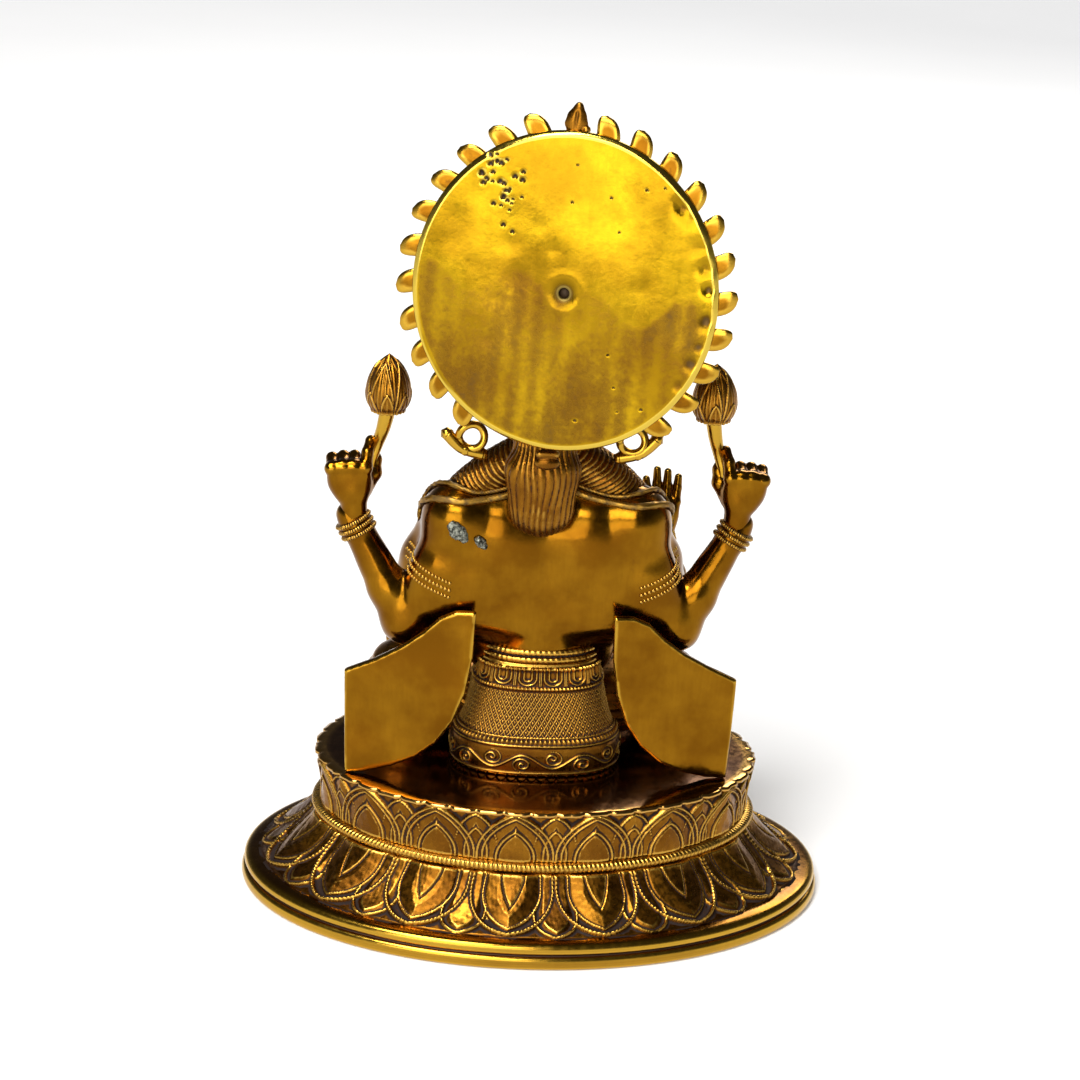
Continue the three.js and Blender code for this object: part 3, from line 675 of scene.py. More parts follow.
def build_base():
    half = BASE_HALF[0]
    rim_top = high("base_rim")[2]
    rim = rounded([(half - 2.2, 0), (half - 0.6, 0.3), (half, 2.4), (half - 0.7, 4.6), (half - 2.8, 5.2),
                   (half - 2.6, 5.6), (half - 1.1, 6.6), (half - 1.3, 8.6), (half - 3.0, 9.9),
                   (half - 6.5, rim_top), (half - 9, rim_top)])
    polished("rim", shell(rim, [(half - 13, rim_top), (half - 13, 0)], 360, 60), "base_rim")
    foot, head = low("lotus_lower")[2], high("lotus_lower")[2]
    slope = rounded([(106.5, foot), (99.0, 14.2), (92.0, 19.6), (86.0, 25.8), (83.8, head)], 3)
    aged("lower_lotus", shell(slope, [(79.0, head), (101.0, foot)], 1440, 64, lower_petals), "lotus_lower",
         hollow=0.2)
    foot, head = low("ribbed_band")[2], high("ribbed_band")[2]
    rib = rounded([(83.2, foot), (85.6, foot + 0.5), (86.2, (foot + head) / 2), (85.4, head - 0.5),
                   (83.0, head)])

    def ticks(share, along):
        return -0.4 * (np.cos(share * TAU * 260) > 0.3) * np.sin(along / along.max() * math.pi)

    aged("ribs", shell(rib, [(79, head), (79, foot)], 2080, 12, ticks), "ribbed_band")
    foot, head = low("lotus_upper")[2], SEAT_TOP - 1.3
    drum = rounded([(82.2, foot), (82.2, 40), (83.2, 46), (84.6, head)])
    aged("upper_lotus", shell(drum, [(80, head), (79, foot)], 1440, 56, upper_petals), "lotus_upper",
         hollow=0.2)
    columns = 480
    angles = oval_angles(columns)
    share = np.arange(columns) / columns
    notch = (share - FIRST_PETAL) * PETALS * 3 + 0.5
    tips = 1.7 * hump(notch - np.round(notch), 0.10)
    tips = tips + 0.35 * wave_noise(share * WAY_ROUND, 0 * share, 0 * share, 9, 4)
    edge = [(0.05, SEAT_TOP - 2.4), (82.0, SEAT_TOP - 2.4), (85.0, SEAT_TOP - 2.0), (85.6, SEAT_TOP - 1.0),
            (84.8, SEAT_TOP - 0.15), (83.6, SEAT_TOP), (0.05, SEAT_TOP)]
    plate = turned(rounded(edge), columns, 110, None, PLACE, DEPTH, angles)
    x, y = plate[..., 0], plate[..., 1]
    reach = np.hypot(x, y / DEPTH)
    shrink = 1 - (tips[:, None] / 85) * smoothstep(reach, 81.5, 84.5)
    plate[..., :2] *= shrink[..., None]
    plate[..., 2] += 0.12 * wave_noise(x, y, 0 * x, 46, 3, 2) * (1 - smoothstep(reach, 70, 82))
    make_piece("seat", loft(plate), SEAT_BRASS, "dark_seat", ["seat_plate"])


# ---------- torso and arms ----------
def arm_points(side, name):
    """Shoulder, elbow and wrist of an arm from the boxes of its pieces."""
    word = "left" if side == LEFT else "right"
    upper, bangle = f"{name}_upper_arm_{word}", f"{name}_bangle_{word}"
    round_end = 9.2 if name == "rear" else 7.4
    elbow = mid(upper)
    elbow[0] = outer_x(upper, side) - side * round_end
    elbow[2] = low(upper)[2] + round_end
    if name == "front":
        elbow[1] = low(upper)[1] + round_end
    else:
        elbow[1] = mid(upper)[1] - 1.5
    return elbow, mid(bangle)


ARMS = {(name, side): arm_points(side, name) for name in ("rear", "front") for side in (LEFT, RIGHT)}


def sculpt_body():
    reach_x = high("rear_bangle_left")[0] + 6 - CENTRE_X
    clay = Clay(at(-reach_x, low("front_bangle_left")[1] - 8, 88), at(reach_x, 40, 184), 0.62)
    placed(clay, at, [(0, 9, 141, 27, 14.5, 21, 1), (0, 8.5, 120, 24, 14.0, 18, 12),
                      (0, 7.5, 104, 19.5, 14, 12, 8)])
    clay.add(rod(at(0, 8, 150), at(0, 6.5, 182), 10, 7.6), 8)
    placed(clay, at, [(0, -3.4, 112, 14, 5, 9, 8)])
    for side in (LEFT, RIGHT):
        spot = beside(side)
        clay.add(rod(spot(4, 10, 166), spot(30, 12.5, 156), 7, 9.5), 8)
        placed(clay, spot, [(11.5, -2.5, 139.5, 10, 8.2, 9, 5), (14, 18.6, 147, 11, 6, 13, 8),
                            (24, 14.0, 133, 18, 10.5, 24, 10), (34, 13.5, 122, 13, 8.5, 14, 10),
                            (17, 6, 103, 12, 8, 15, 6), (11, 12.5, 116, 13, 10, 8.5, 7)])
        elbow, wrist = ARMS["rear", side]
        shoulder = at(side * 33, 13, 153)
        middle = shoulder * 0.5 + elbow * 0.5 + [-side * 3.0, 0.6, 1]
        clay.chain([shoulder, middle, elbow], [11.4, 9.2, 8.7], 6)
        swell = elbow * 0.66 + wrist * 0.34
        clay.chain([elbow, swell, wrist, wrist + (wrist - elbow) * 0.12], [8.9, 7.5, 5.4, 5.0], 3)
        clay.add(ball(shoulder + [side * 0.5, -1, 0], (11.4, 11, 11.6)), 6)
        elbow, wrist = ARMS["front", side]
        shoulder = at(side * 35.5, 2.5, 152)
        clay.chain([shoulder, shoulder * 0.5 + elbow * 0.5, elbow], [9.6, 8.4, 7.0], 5)
        clay.chain([elbow, elbow * 0.6 + wrist * 0.4, wrist + (wrist - elbow) * 0.05], [7.0, 6.6, 4.4], 3)

    def bodice(x, y, z):
        edge = 147 - 0.016 * (x - CENTRE_X) ** 2
        front = smoothstep(-y, -6, 0)
        return 0.55 * front * smoothstep(z, 127.5, 128.3) * (1 - smoothstep(z, edge, edge + 0.8))

    clay.emboss(bodice)
    clay.emboss(lambda x, y, z: 0.10 * wave_noise(x, y, z, 16, 8, 2).astype(np.float32))
    return clay


def ring_on(clay, centre, axis, radius, count):
    """Points round a limb at a plane across it, laid on its surface."""
    side, up, n = axes_about(axis)
    angle = circle(count)[:, None]
    ring = centre + radius * (np.cos(angle) * side + np.sin(angle) * up)
    for _ in range(8):
        gap = clay.sample(ring)[:, None]
        inward = ring - centre
        inward -= (inward @ n)[:, None] * n
        ring = ring - gap * inward / np.maximum(np.linalg.norm(inward, axis=1, keepdims=True), 1e-6)
    return ring


def tube(path, radius, sides=10, twist=0.0, strands=3, groove=0.0, closed=False):
    """A round bar along a path, with rope grooves when groove is given, in mm."""
    path = np.asarray(path, float)
    ahead = np.roll(path, -1, 0) if closed else np.concatenate([path[1:], path[-1:] * 2 - path[-2:-1]])
    behind = np.roll(path, 1, 0) if closed else np.concatenate([path[:1] * 2 - path[1:2], path[:-1]])
    along = ahead - behind
    along /= np.maximum(np.linalg.norm(along, axis=1, keepdims=True), 1e-9)
    side = np.cross(along, [0.12, 0.3, 0.95])
    side /= np.linalg.norm(side, axis=1, keepdims=True)
    up = np.cross(along, side)
    walk = np.concatenate([[0], np.cumsum(np.linalg.norm(np.diff(path, axis=0), axis=1))])
    radius = np.broadcast_to(radius, (len(path),))
    points = np.empty((sides, len(path), 3))
    for i in range(sides):
        a = TAU * i / sides
        r = radius - groove * np.abs(np.sin(strands * (a / 2 + twist * walk / 2)))
        points[i] = path + r[:, None] * (math.cos(a) * side + math.sin(a) * up)
    return loft(points, capped=not closed)


def smooth_path(points, count):
    """A smooth line of `count` points through the given ones."""
    points = np.asarray(points, float)
    knots = np.arange(len(points))
    steps = np.linspace(0, len(points) - 1, count)
    padded = np.concatenate([points[:1] * 2 - points[1:2], points, points[-1:] * 2 - points[-2:-1]])
    base = np.clip(steps.astype(int), 0, knots[-1] - 1)
    t = (steps - base)[:, None]
    p0, p1, p2, p3 = padded[base], padded[base + 1], padded[base + 2], padded[base + 3]
    return 0.5 * (2 * p1 + (p2 - p0) * t + (2 * p0 - 5 * p1 + 4 * p2 - p3) * t**2
                  + (3 * p1 - p0 - 3 * p2 + p3) * t**3)


def build_body():
    clay = sculpt_body()
    nodes = ["torso"] + [f"{kind}_{word}" for kind in ("rear_upper_arm", "rear_forearm", "front_upper_arm",
                                                       "front_forearm") for word in SIDES]
    polished("body", clay.surface(), *nodes, hollow=0.5)
    for word, side in SIDES.items():
        elbow, _ = ARMS["rear", side]
        shoulder = at(side * 33, 13, 153)
        axis = unit(elbow - shoulder)
        centre = shoulder + axis * (mid(f"armlet_{word}")[2] - shoulder[2]) / axis[2]
        parts = []
        for shift, size in ((-2.7, 0.75), (0.0, 0.85), (2.7, 0.75)):
            ring = ring_on(clay, centre + axis * shift, axis, 11, 200)
            inward = (ring[:, 0] - centre[0]) * side < -7.0
            forearm = np.linalg.norm(ring - centre, axis=1) > 15.5
            line = ring[~(inward | forearm)]
            start = np.argmax(np.linalg.norm(np.diff(np.concatenate([line, line[:1]]), axis=0), axis=1)) + 1
            line = np.roll(line, -start, axis=0)
            parts.append(beads(evenly(line, size * 1.8), size))
        aged(f"armlet_beads_{word}", joined(*parts), f"armlet_{word}")
    neck = []
    for drop, size, width in ((0.0, 1.0, 0.0), (5.5, 1.25, 4.0), (12.5, 1.0, 7.0)):
        line = [at(x * (13 + width) / 10, -8, 164 - drop - (10 + drop * 0.9) * (1 - (x / 10) ** 2) ** 0.8)
                for x in np.linspace(-10, 10, 41)]
        line = clay.settle(np.array(line))
        neck.append(beads(evenly(smooth_path(line, 120), size * 1.7), size))
    pendant = clay.settle(np.array([at(0, -10, 139.5)]))[0]
    drop = turned(rounded([(0.05, -6.5), (2.2, -3.6), (4.2, 0), (3.4, 3.2), (0.05, 4.6)]), 24, 20, None,
                  (0, 0, 0), 0.45) + pendant
    neck.append(loft(drop))
    flower = [pendant + [2.6 * math.cos(a), -1.9, 2.6 * math.sin(a)] for a in np.arange(8) * 0.785]
    neck.append(beads(flower, 0.6))
    neck.append(beads([pendant + [0, -1.9, 0]], 1.3))
    aged("necklaces", joined(*neck), "pendant")
    build_mantle(clay)


def build_mantle(body):
    """Locks of hair combed over both shoulders, with a rope along their lower edge."""
    mantle = Clay(at(-46, -14, 146), at(46, 30, 188), 0.42)
    ropes = []
    for side in (LEFT, RIGHT):
        spot = beside(side)
        spine = [spot(3, 12.5, 179), spot(13, 12.5, 174.5), spot(24, 11.5, 167.5), spot(33, 8, 159),
                 spot(37.5, 1, 151)]
        mantle.chain(smooth_path(spine, 14), along_line(14, [0, 0.4, 0.8, 1], [8, 7.4, 5.4, 3.4]), 3)
        edge = smooth_path([spot(4, 23, 171), spot(14, 23.5, 168), spot(24, 22.5, 163.5),
                            spot(32, 18.5, 158.5), spot(39, 10, 153.5), spot(42.5, 3, 147)], 90)
        for lift, size in ((0.0, 1.5), (3.0, 1.15)):
            line = body.settle(edge + [0, -lift * 0.9, lift * 0.5], 4)
            line = line + body.normal(line) * 0.8
            taper = size * np.clip(1.25 - np.linspace(0, 1, 90) ** 4, 0.3, 1)
            ropes.append(tube(line, taper, 14, twist=1.3, strands=4, groove=0.5))

    def locks(x, y, z):
        along = smoothstep(y + 0 * x + 0 * z, 2, 14)
        out = np.abs(x - CENTRE_X)
        run = (z + 0.62 * out) * 0.8 * (1 - along) + (0.55 * out - 0.75 * z) * along - y * 0.45
        bend = wave_noise(x, y, z, 24, 61, 2)
        comb = np.abs(np.sin(math.pi * run / 1.9 + bend * 1.3)) ** 0.7
        fine = np.cos(TAU * run / 0.62 + bend * 4)
        return (0.9 * comb + 0.10 * fine - 0.6).astype(np.float32)

    mantle.emboss(locks)
    aged("hair_locks", mantle.surface(), "collar", hollow=0.35)
    skin = joined(*ropes)
    dirt = np.clip(0.42 + 0.5 * wave_noise(*skin[0].T, 3.0, 62, 2), 0.1, 0.85)
    aged("hair_ropes", skin, grime=dirt, hollow=0.2)


def build_bangles():
    for name, count, notch in (("rear", 3, 44), ("front", 3, 34)):
        for word, side in SIDES.items():
            elbow, wrist = ARMS[name, side]
            radius, height, hole = (7.3, 7.0, 4.2) if name == "rear" else (6.2, 5.4, 3.6)
            step = height / count
            profile = [(hole, -height / 2)]
            for k in range(count):
                base = -height / 2 + k * step
                profile += [(radius - 1.5, base + 0.1), (radius - 0.35, base + step * 0.22),
                            (radius, base + step * 0.5), (radius - 0.35, base + step * 0.78),
                            (radius - 1.5, base + step - 0.1)]
            profile.append((hole, height / 2))

            def nicks(share, along, notch=notch):
                return -0.28 * (np.cos(share * TAU * notch) > 0.5) + 0 * along

            points = turned(profile, 264, 66, nicks)
            points = along_axis(points, wrist, wrist - elbow)
            aged(f"{name}_bangle_rings_{word}", loft(points, capped=False), f"{name}_bangle_{word}")


# ---------- hands, stems and buds ----------
def build_rear_hands():
    for word, side in SIDES.items():
        node = f"rear_hand_{word}"
        elbow, wrist = ARMS["rear", side]
        centre = np.array([mid(node)[0] + side, 8, low(node)[2] + 12.6])

        def spot(x, y, z):
            return centre + [side * x, y, z]

        clay = Clay(centre - [18, 18, 24], centre + [18, 14, 20], 0.36)
        clay.add(rod(wrist + unit(wrist - elbow) * 2, spot(-1.5, 0.6, -6), 5.2, 4.6))
        clay.add(ball(spot(0.2, 0.2, -1.5), (8.2, 4.5, 7.6)), 4)
        for i, lift in enumerate((-0.6, 0.2, 0.4, 0.0)):
            x = 6.9 - 4.1 * i
            knuckle = spot(x, 2.4, 4.2 + lift)
            clay.add(rod(spot(x * 0.45 - 0.5, 1.2, -6), knuckle, 2.2, 2.4), 3)
            clay.add(ball(knuckle + [0, 0.3, 0.3], 2.55))
            if i < 3:
                curl = [spot(x, -3.4, 6.4 + lift), spot(x + 0.2, -7.0, 3.0 + lift), spot(x, -5.2, -1.2)]
                clay.chain([knuckle] + curl, [2.35, 2.25, 2.05, 1.9], 0.7)
            else:
                curl = [spot(x - 0.6, 0.2, 9.6), spot(x - 1.7, -3.6, 12.8), spot(x - 2.0, -6.2, 10.6)]
                clay.chain([knuckle] + curl, [2.4, 2.2, 2.0, 1.7], 0.7)
        clay.chain([spot(-5.0, -1.5, -5), spot(-8.4, -3.6, 0.5), spot(-8.8, -5.0, 5.2),
                    spot(-7.6, -6.2, 9.4)], [3.3, 2.9, 2.4, 2.0], 1.2)
        clay.cut(rod(spot(-6.0, 5.4, 6.6), spot(8.6, 5.0, 6.0), 0.5), 0.8)
        polished(f"fist_{word}", clay.surface(), node, hollow=0.3)
        stem = low(f"lotus_stem_{word}")
        bud = mid(f"lotus_bud_{word}")
        bottom = low(f"lotus_bud_{word}")[2]
        path = smooth_path([spot(-7.2, -3.6, -2), spot(-7.6, -3.2, 5),
                            [bud[0] + side * 3.6, stem[1] + 2.6, stem[2] + 6],
                            [bud[0] + side * 1.6, bud[1] - 1.6, bottom - 7], [bud[0], bud[1], bottom + 1]],
                           60)
        size = along_line(60, [0, 0.45, 1], [1.7, 2.1, 3.0])
        make_piece(f"stem_{word}", tube(path, size, 16), POLISHED, "aged_brass", [f"lotus_stem_{word}"])
        build_bud(word, bud, bottom)


def build_bud(word, bud, bottom):
    top = high(f"lotus_bud_{word}")[2] - bottom
    profile = rounded([(0.05, 0), (3.4, 0.1), (6.4, 2.2), (7.7, 5.4), (7.9, 8.6), (7.2, 12.6), (5.4, 16.6),
                       (2.7, 19.8), (0.05, top)], 2)

    def petals(share, along):
        length = along.max()
        v = along / length + 0 * share
        out = np.full(v.shape, -0.7)
        for count, offset, start, reach, wide, lift in ((5, 0.5, 0.2, 0.80, 1.0, 0.15),
                                                        (5, 0.0, 0.2, 0.66, 0.98, 0.6),
                                                        (7, 0.3, 0.1, 0.36, 0.9, 0.95)):
            turn = share * count + offset
            across = np.abs(2 * (turn - np.round(turn))) + 0 * v
            pitch = 24.0 / count * (0.35 + np.sin(np.clip(v, 0.03, 0.97) * math.pi) * 0.75)
            inside = leaf(v, across, start, reach, wide, 0.62, pitch, length)
            skin = step_curve(inside, (-0.2, -2), (0.15, lift), (0.7, lift), (1.0, lift - 0.28),
                              (3, lift - 0.1))
            skin = skin + 0.10 * np.cos(across * pitch * 4.4) * smoothstep(inside, 1.0, 1.4)
            out = np.maximum(out, skin)
        rim = hump(v - 0.19, 0.02) * 0.9
        return (out + rim) * smoothstep(1 - v, 0, 0.12) * smoothstep(v, 0.0, 0.06) * 0.85

    points = turned(profile, 220, 110, petals, (bud[0], bud[1], bottom))
    aged(f"bud_{word}", loft(points), f"lotus_bud_{word}", hollow=0.2)


def build_front_hands():
    for word, side in SIDES.items():
        node = f"front_hand_{word}"
        elbow, wrist = ARMS["front", side]
        raised = side == RIGHT
        tip_z = high(node)[2] if raised else low(node)[2]
        tip_y = low(node)[1] + (2.0 if raised else 2.5)
        heading = unit([0, tip_y - wrist[1], tip_z - wrist[2]])
        length = abs(tip_z - wrist[2]) / max(abs(heading[2]), 0.3)
        palm_normal = unit(np.cross([1, 0, 0], heading))
        palm_normal = -palm_normal * np.sign(palm_normal[1])
        tip = wrist + heading * length
        clay = Clay(np.minimum(wrist, tip) - 16, np.maximum(wrist, tip) + 16, 0.38)

        def spot(x, forward, out):
            return wrist + [x, 0, 0] + heading * forward * length + palm_normal * out

        clay.add(rod(wrist - unit(wrist - elbow) * 3, spot(0, 0.1, 0), 4.5, 4.3))
        clay.add(ball(spot(0, 0.30, 0), (6.6, 3.2, 6.6)), 4)
        for i, reach in enumerate((0.90, 0.97, 0.995, 0.86)):
            x = (i - 1.5) * 3.75 * -side
            lean = x * 0.06
            knuckle = spot(x * 0.95, 0.50, 0)
            clay.add(rod(spot(x * 0.5, 0.15, 0.2), knuckle, 2.4, 2.3), 2)
            clay.chain([knuckle, spot(x + lean, (0.50 + reach) / 2, 0.5),
                        spot(x + lean * 2, reach - 0.05, 0.2)], [2.05, 1.85, 1.5], 0.5)
        thumb = [spot(-side * 3.5, 0.12, 1.0), spot(-side * 7.6, 0.34, 1.8), spot(-side * 8.6, 0.56, 1.8)]
        clay.chain(thumb, [3.0, 2.3, 1.7], 1.2)
        clay.cut(ball(spot(0, 0.32, 5.0), (4.6, 3.0, 4.6)), 1.5)
        clay.add(ball(spot(0, 0.34, 2.0), (1.5, 0.9, 1.5)), 0.5)
        polished(f"open_hand_{word}", clay.surface(), node, hollow=0.3)


# ---------- legs, feet and garments ----------
def build_legs():
    for word, side in SIDES.items():
        lift = 0 if side == LEFT else 4
        hip = at(side * 17, 0, 72)
        knee = at(side * 50, -21, high(f"leg_{word}")[2] - 13.5)
        shin = at(side * 22, -37, 64.8 + lift)
        ankle = at(-side * 5, -43.5, 62.8 + lift)
        clay = Clay(at(-68, -58, SEAT_TOP - 1), at(68, 22, 92), 0.6)
        clay.chain([hip, hip * 0.5 + knee * 0.5, knee], [13.0, 13.2, 12.8], 6)
        clay.chain([knee, shin, ankle], [12.6, 9.0, 6.2], 6)
        clay.chain([knee, knee * [1, 1, 0] + [0, 0, SEAT_TOP + 10]], [12.4, 12.6], 6)
        clay.add(ball((hip + knee + shin) / 3, (17, 12, 10.5)), 8)

        def folds(x, y, z):
            run = np.hypot(x - knee[0], y - knee[1]) * 0.10 + z * 0.55
            ripple = wave_noise(x, y, z, 26, 17 + side, 2)
            near = smoothstep(np.hypot(x - knee[0], y - knee[1]), 4, 16)
            return (0.42 * np.sin(run * TAU / 2.6 + ripple * 2.4) * near + 0.15 * ripple).astype(np.float32)

        clay.emboss(folds)
        nodes = [f"leg_{word}"]
        if side == LEFT:
            nodes.append("lap_cloth")
            placed(clay, at, [(0, -26, 62, 20, 14, 9, 3), (12, -33, 59, 24, 12, 7, 4)])
        clay.keep(lambda x, y, z: SEAT_TOP + 0.1 - z + 0 * x + 0 * y)
        aged(f"draped_leg_{word}", clay.surface(), *nodes, hollow=0.5)
        build_foot(word, side)


def build_foot(word, side):
    node = f"foot_{word}"
    z = 60.6 if side == LEFT else 68.6
    clay = Clay(low(node) - 4, high(node) + 4, 0.4)

    def spot(x, y, dz):
        return at(-side * x, y, z + dz)

    clay.add(ball(spot(16.5, -44.6, 0), (6.4, 5.8, 4.8)))
    clay.chain([spot(17, -44.5, 0.2), spot(29, -43.6, 0.5)], [5.2, 4.4], 5)
    clay.add(ball(spot(31, -43.4, 0.4), (5.6, 6.2, 3.4)), 4)
    for i, (size, reach) in enumerate(((2.1, 40.2), (1.6, 40.0), (1.5, 39.2), (1.4, 38.2), (1.25, 36.8))):
        y = -48.2 + i * 2.35
        clay.chain([spot(33, y * 0.9 - 4.4, 0.4), spot(reach - 2.2, y, 0.9), spot(reach, y, 0.6)],
                   [size, size * 0.95, size], 0.7)
    polished(f"bare_foot_{word}", clay.surface(), node, hollow=0.3)
    centre = mid(f"anklet_{word}")
    parts = []
    for shift, bead in ((-1.3, 0.0), (1.3, 0.0), (0.0, 1.1)):
        angle = circle(48)
        ring = np.stack([0 * angle + shift, 6.5 * np.cos(angle), 6.3 * np.sin(angle)], -1) + centre
        parts.append(beads(evenly(ring, 2.0, True), bead) if bead else tube(ring, 1.0, 8, closed=True))
    aged(f"anklet_beads_{word}", joined(*parts), f"anklet_{word}")


SKIRT_Y = mid("lower_garment")[1]
SKIRT_SIZE = high("lower_garment") - low("lower_garment")
SKIRT_DEPTH = SKIRT_SIZE[1] / SKIRT_SIZE[0]


TONGUES, LATTICE, PEARLS, VINES, SCALLOPS = 16, 78, 110, 9, 52  # how many of each go round the skirt


def cell(share, count, offset=0.0):
    """Signed place across a repeated motif, from -1 to 1."""
    turn = share * count + offset
    return 2 * (turn - np.round(turn))


def build_skirt():
    floor = low("hem_band")[2]
    hem, waist = high("hem_band")[2], high("lower_garment")[2]
    girdle = low("girdle_band")[2]
    profile = rounded([(31.6, floor), (32.6, 58), (32.2, hem), (29.4, 70.4), (27.0, 77), (24.2, girdle),
                       (22.4, waist)], 2)
    line, steps = resample(profile, 170)
    heights = line[:, 1]

    def rail(z, height, size, width):
        return size * hump(z - height, width)

    def girdle_relief(share, z):
        u = cell(share, TONGUES, 0.5) * 4.0 + 0 * z
        h = z - (girdle + 1.0)
        band = (h < 7.4) * (h > 0.2)
        out = np.zeros(z.shape)
        for size in (1.25, 2.75):
            out += 0.8 * hump(np.hypot(u, np.minimum(h - 3.4, 0)) - size, 0.42) * band
        out += 0.7 * hump(np.abs(np.abs(u) - 3.75), 0.28) * band
        out += rail(z, girdle + 0.2, 0.6, 0.7)
        out += rail(z, waist - 1.8, 0.7, 0.7)
        return out + 0.35 * (0.5 + 0.5 * np.cos(share * TAU * PEARLS)) * hump(z - girdle - 0.2, 0.7)

    def cloth_relief(share, z):
        cloth = (z > hem + 3.4) & (z < girdle - 1.2)
        a, b = share * LATTICE + z / 3.6, share * LATTICE - z / 3.6
        cross = np.minimum(np.abs(a - np.round(a)), np.abs(b - np.round(b)))
        dot = np.hypot((a - np.floor(a)) - 0.5, (b - np.floor(b)) - 0.5)
        return cloth * (0.34 * hump(cross, 0.14) + 0.50 * hump(dot, 0.19) - 0.15)

    def hem_relief(share, z):
        out = 0.75 * hump(np.hypot(cell(share, PEARLS) * 0.9, z - (hem + 1.9)), 0.8)
        out += rail(z, hem + 0.3, 0.55, 0.4) + rail(z, hem + 3.2, 0.55, 0.4)
        h = z - (floor + hem) / 2 - 0.5
        out += rail(h, 2.5 * np.cos(share * TAU * VINES), 0.6, 0.45)
        for offset, hand in ((0.0, 1), (0.5, -1)):
            du, dh = cell(share, VINES, offset) * 9.4 * hand, (h + 1.3 * hand) * hand
            radius = np.hypot(du, dh)
            spiral = radius / 1.9 - np.arctan2(dh, du) / TAU
            out += (radius < 2.9) * 0.6 * hump(np.abs(spiral - np.round(spiral)) * 1.9, 0.38)
        out += rail(z, floor + 2.0, 0.5, 0.45)
        scallop = floor + np.abs(np.sin(share * math.pi * SCALLOPS)) * 1.6
        return out - 0.9 * (1 - smoothstep(z, scallop - 0.2, scallop + 0.3))

    def weave(share, along):
        z = np.interp(along, steps, heights) + 0 * share
        return girdle_relief(share, z) + cloth_relief(share, z) + hem_relief(share, z)

    points = turned(profile, 1080, 170, weave, (CENTRE_X, SKIRT_Y, 0), SKIRT_DEPTH, square=2.5)
    aged("skirt", loft(points), "lower_garment", "girdle_band", "hem_band", hollow=0.16)
    low_z, high_z = low("waist_belt")[2], high("waist_belt")[2]
    middle = (low_z + high_z) / 2
    wide = (high("waist_belt")[0] - low("waist_belt")[0]) / 2
    belt = rounded([(wide - 6, low_z), (wide - 1.4, low_z), (wide, low_z + 0.7), (wide, middle - 0.8),
                    (wide - 1.6, middle - 0.2), (wide - 1.6, middle + 0.2), (wide, middle + 0.8),
                    (wide, high_z - 0.7), (wide - 1.4, high_z), (wide - 6, high_z)], 1)

    def cord(share, along):
        v = along / along.max() + 0 * share
        twist = 0.05 * np.cos(share * TAU * 70 + v * 9)
        return twist * smoothstep(v, 0.15, 0.3) * (1 - smoothstep(v, 0.7, 0.85))

    points = turned(belt, 900, 60, cord, (CENTRE_X, SKIRT_Y, 0), SKIRT_DEPTH + 0.02, square=2.3)
    aged("belt", loft(points, capped=False), "waist_belt")


SASH_INNER = 25  # how far from the middle the plates start
SASH_WIDTH = 45.8
SASH_ROUND = 1.0


def outline_gap(u, v, corners):
    """Distance from a closed outline of corners: below 0 inside it."""
    best = np.full(u.shape, 1e9)
    inside = np.zeros(u.shape, bool)
    for a, b in zip(corners, np.roll(corners, -1, 0)):
        e = b - a
        t = np.clip(((u - a[0]) * e[0] + (v - a[1]) * e[1]) / (e @ e), 0, 1)
        best = np.minimum(best, (u - a[0] - t * e[0]) ** 2 + (v - a[1] - t * e[1]) ** 2)
        crosses = (a[1] > v) != (b[1] > v)
        inside ^= crosses & (u < (b[0] - a[0]) * (v - a[1]) / (b[1] - a[1] + 1e-12) + a[0])
    return np.sqrt(best) * np.where(inside, -1, 1)


def build_sashes():
    outline = [(22.6, 121.8), (30, 121.4), (36, 118.6), (42, 112.6), (50, 106.4), (60, 100.4), (70.8, 95.2),
               (70.4, 74), (69.6, SEAT_TOP + 0.3), (62, SEAT_TOP + 0.9), (52, 58), (43, 62.4), (35.5, 69),
               (29.6, 78), (25.4, 90), (23.2, 104)]
    for word, side in SIDES.items():
        node = f"sash_plate_{word}"
        points, (sideways, normal, _) = plate_axes(node)
        centre = points.mean(0)
        sideways = sideways * np.sign(sideways[0] * side)
        reach = (points - centre) @ sideways
        lift = (points - centre) @ normal
        middle = (lift.max() + lift.min()) / 2
        start = (centre + normal * middle + sideways * reach.min()) * [1, 1, 0]
        corners = (np.array(outline) - [SASH_INNER, 0]) * [(reach.max() - reach.min()) / SASH_WIDTH, 1]
        clay = Clay(low(node) - 3, high(node) + 3, 0.55)

        def plate(x, y, z):
            u = (x - start[0]) * sideways[0] + (y - start[1]) * sideways[1] + 0 * z
            w = (x - start[0]) * normal[0] + (y - start[1]) * normal[1] + 0 * z
            v = z + 0 * u
            edge = outline_gap(u, v, corners) + SASH_ROUND
            face = np.abs(w + 1.1 * wave_noise(u, v, 0 * u, 50, 21 + side, 2)) - 0.75
            outside = np.hypot(np.maximum(edge, 0), np.maximum(face, 0))
            return outside + np.minimum(np.maximum(edge, face), 0) - SASH_ROUND

        clay.add((plate, low(node), high(node)))
        polished(f"sash_{word}", clay.surface(), node, hollow=0.4)


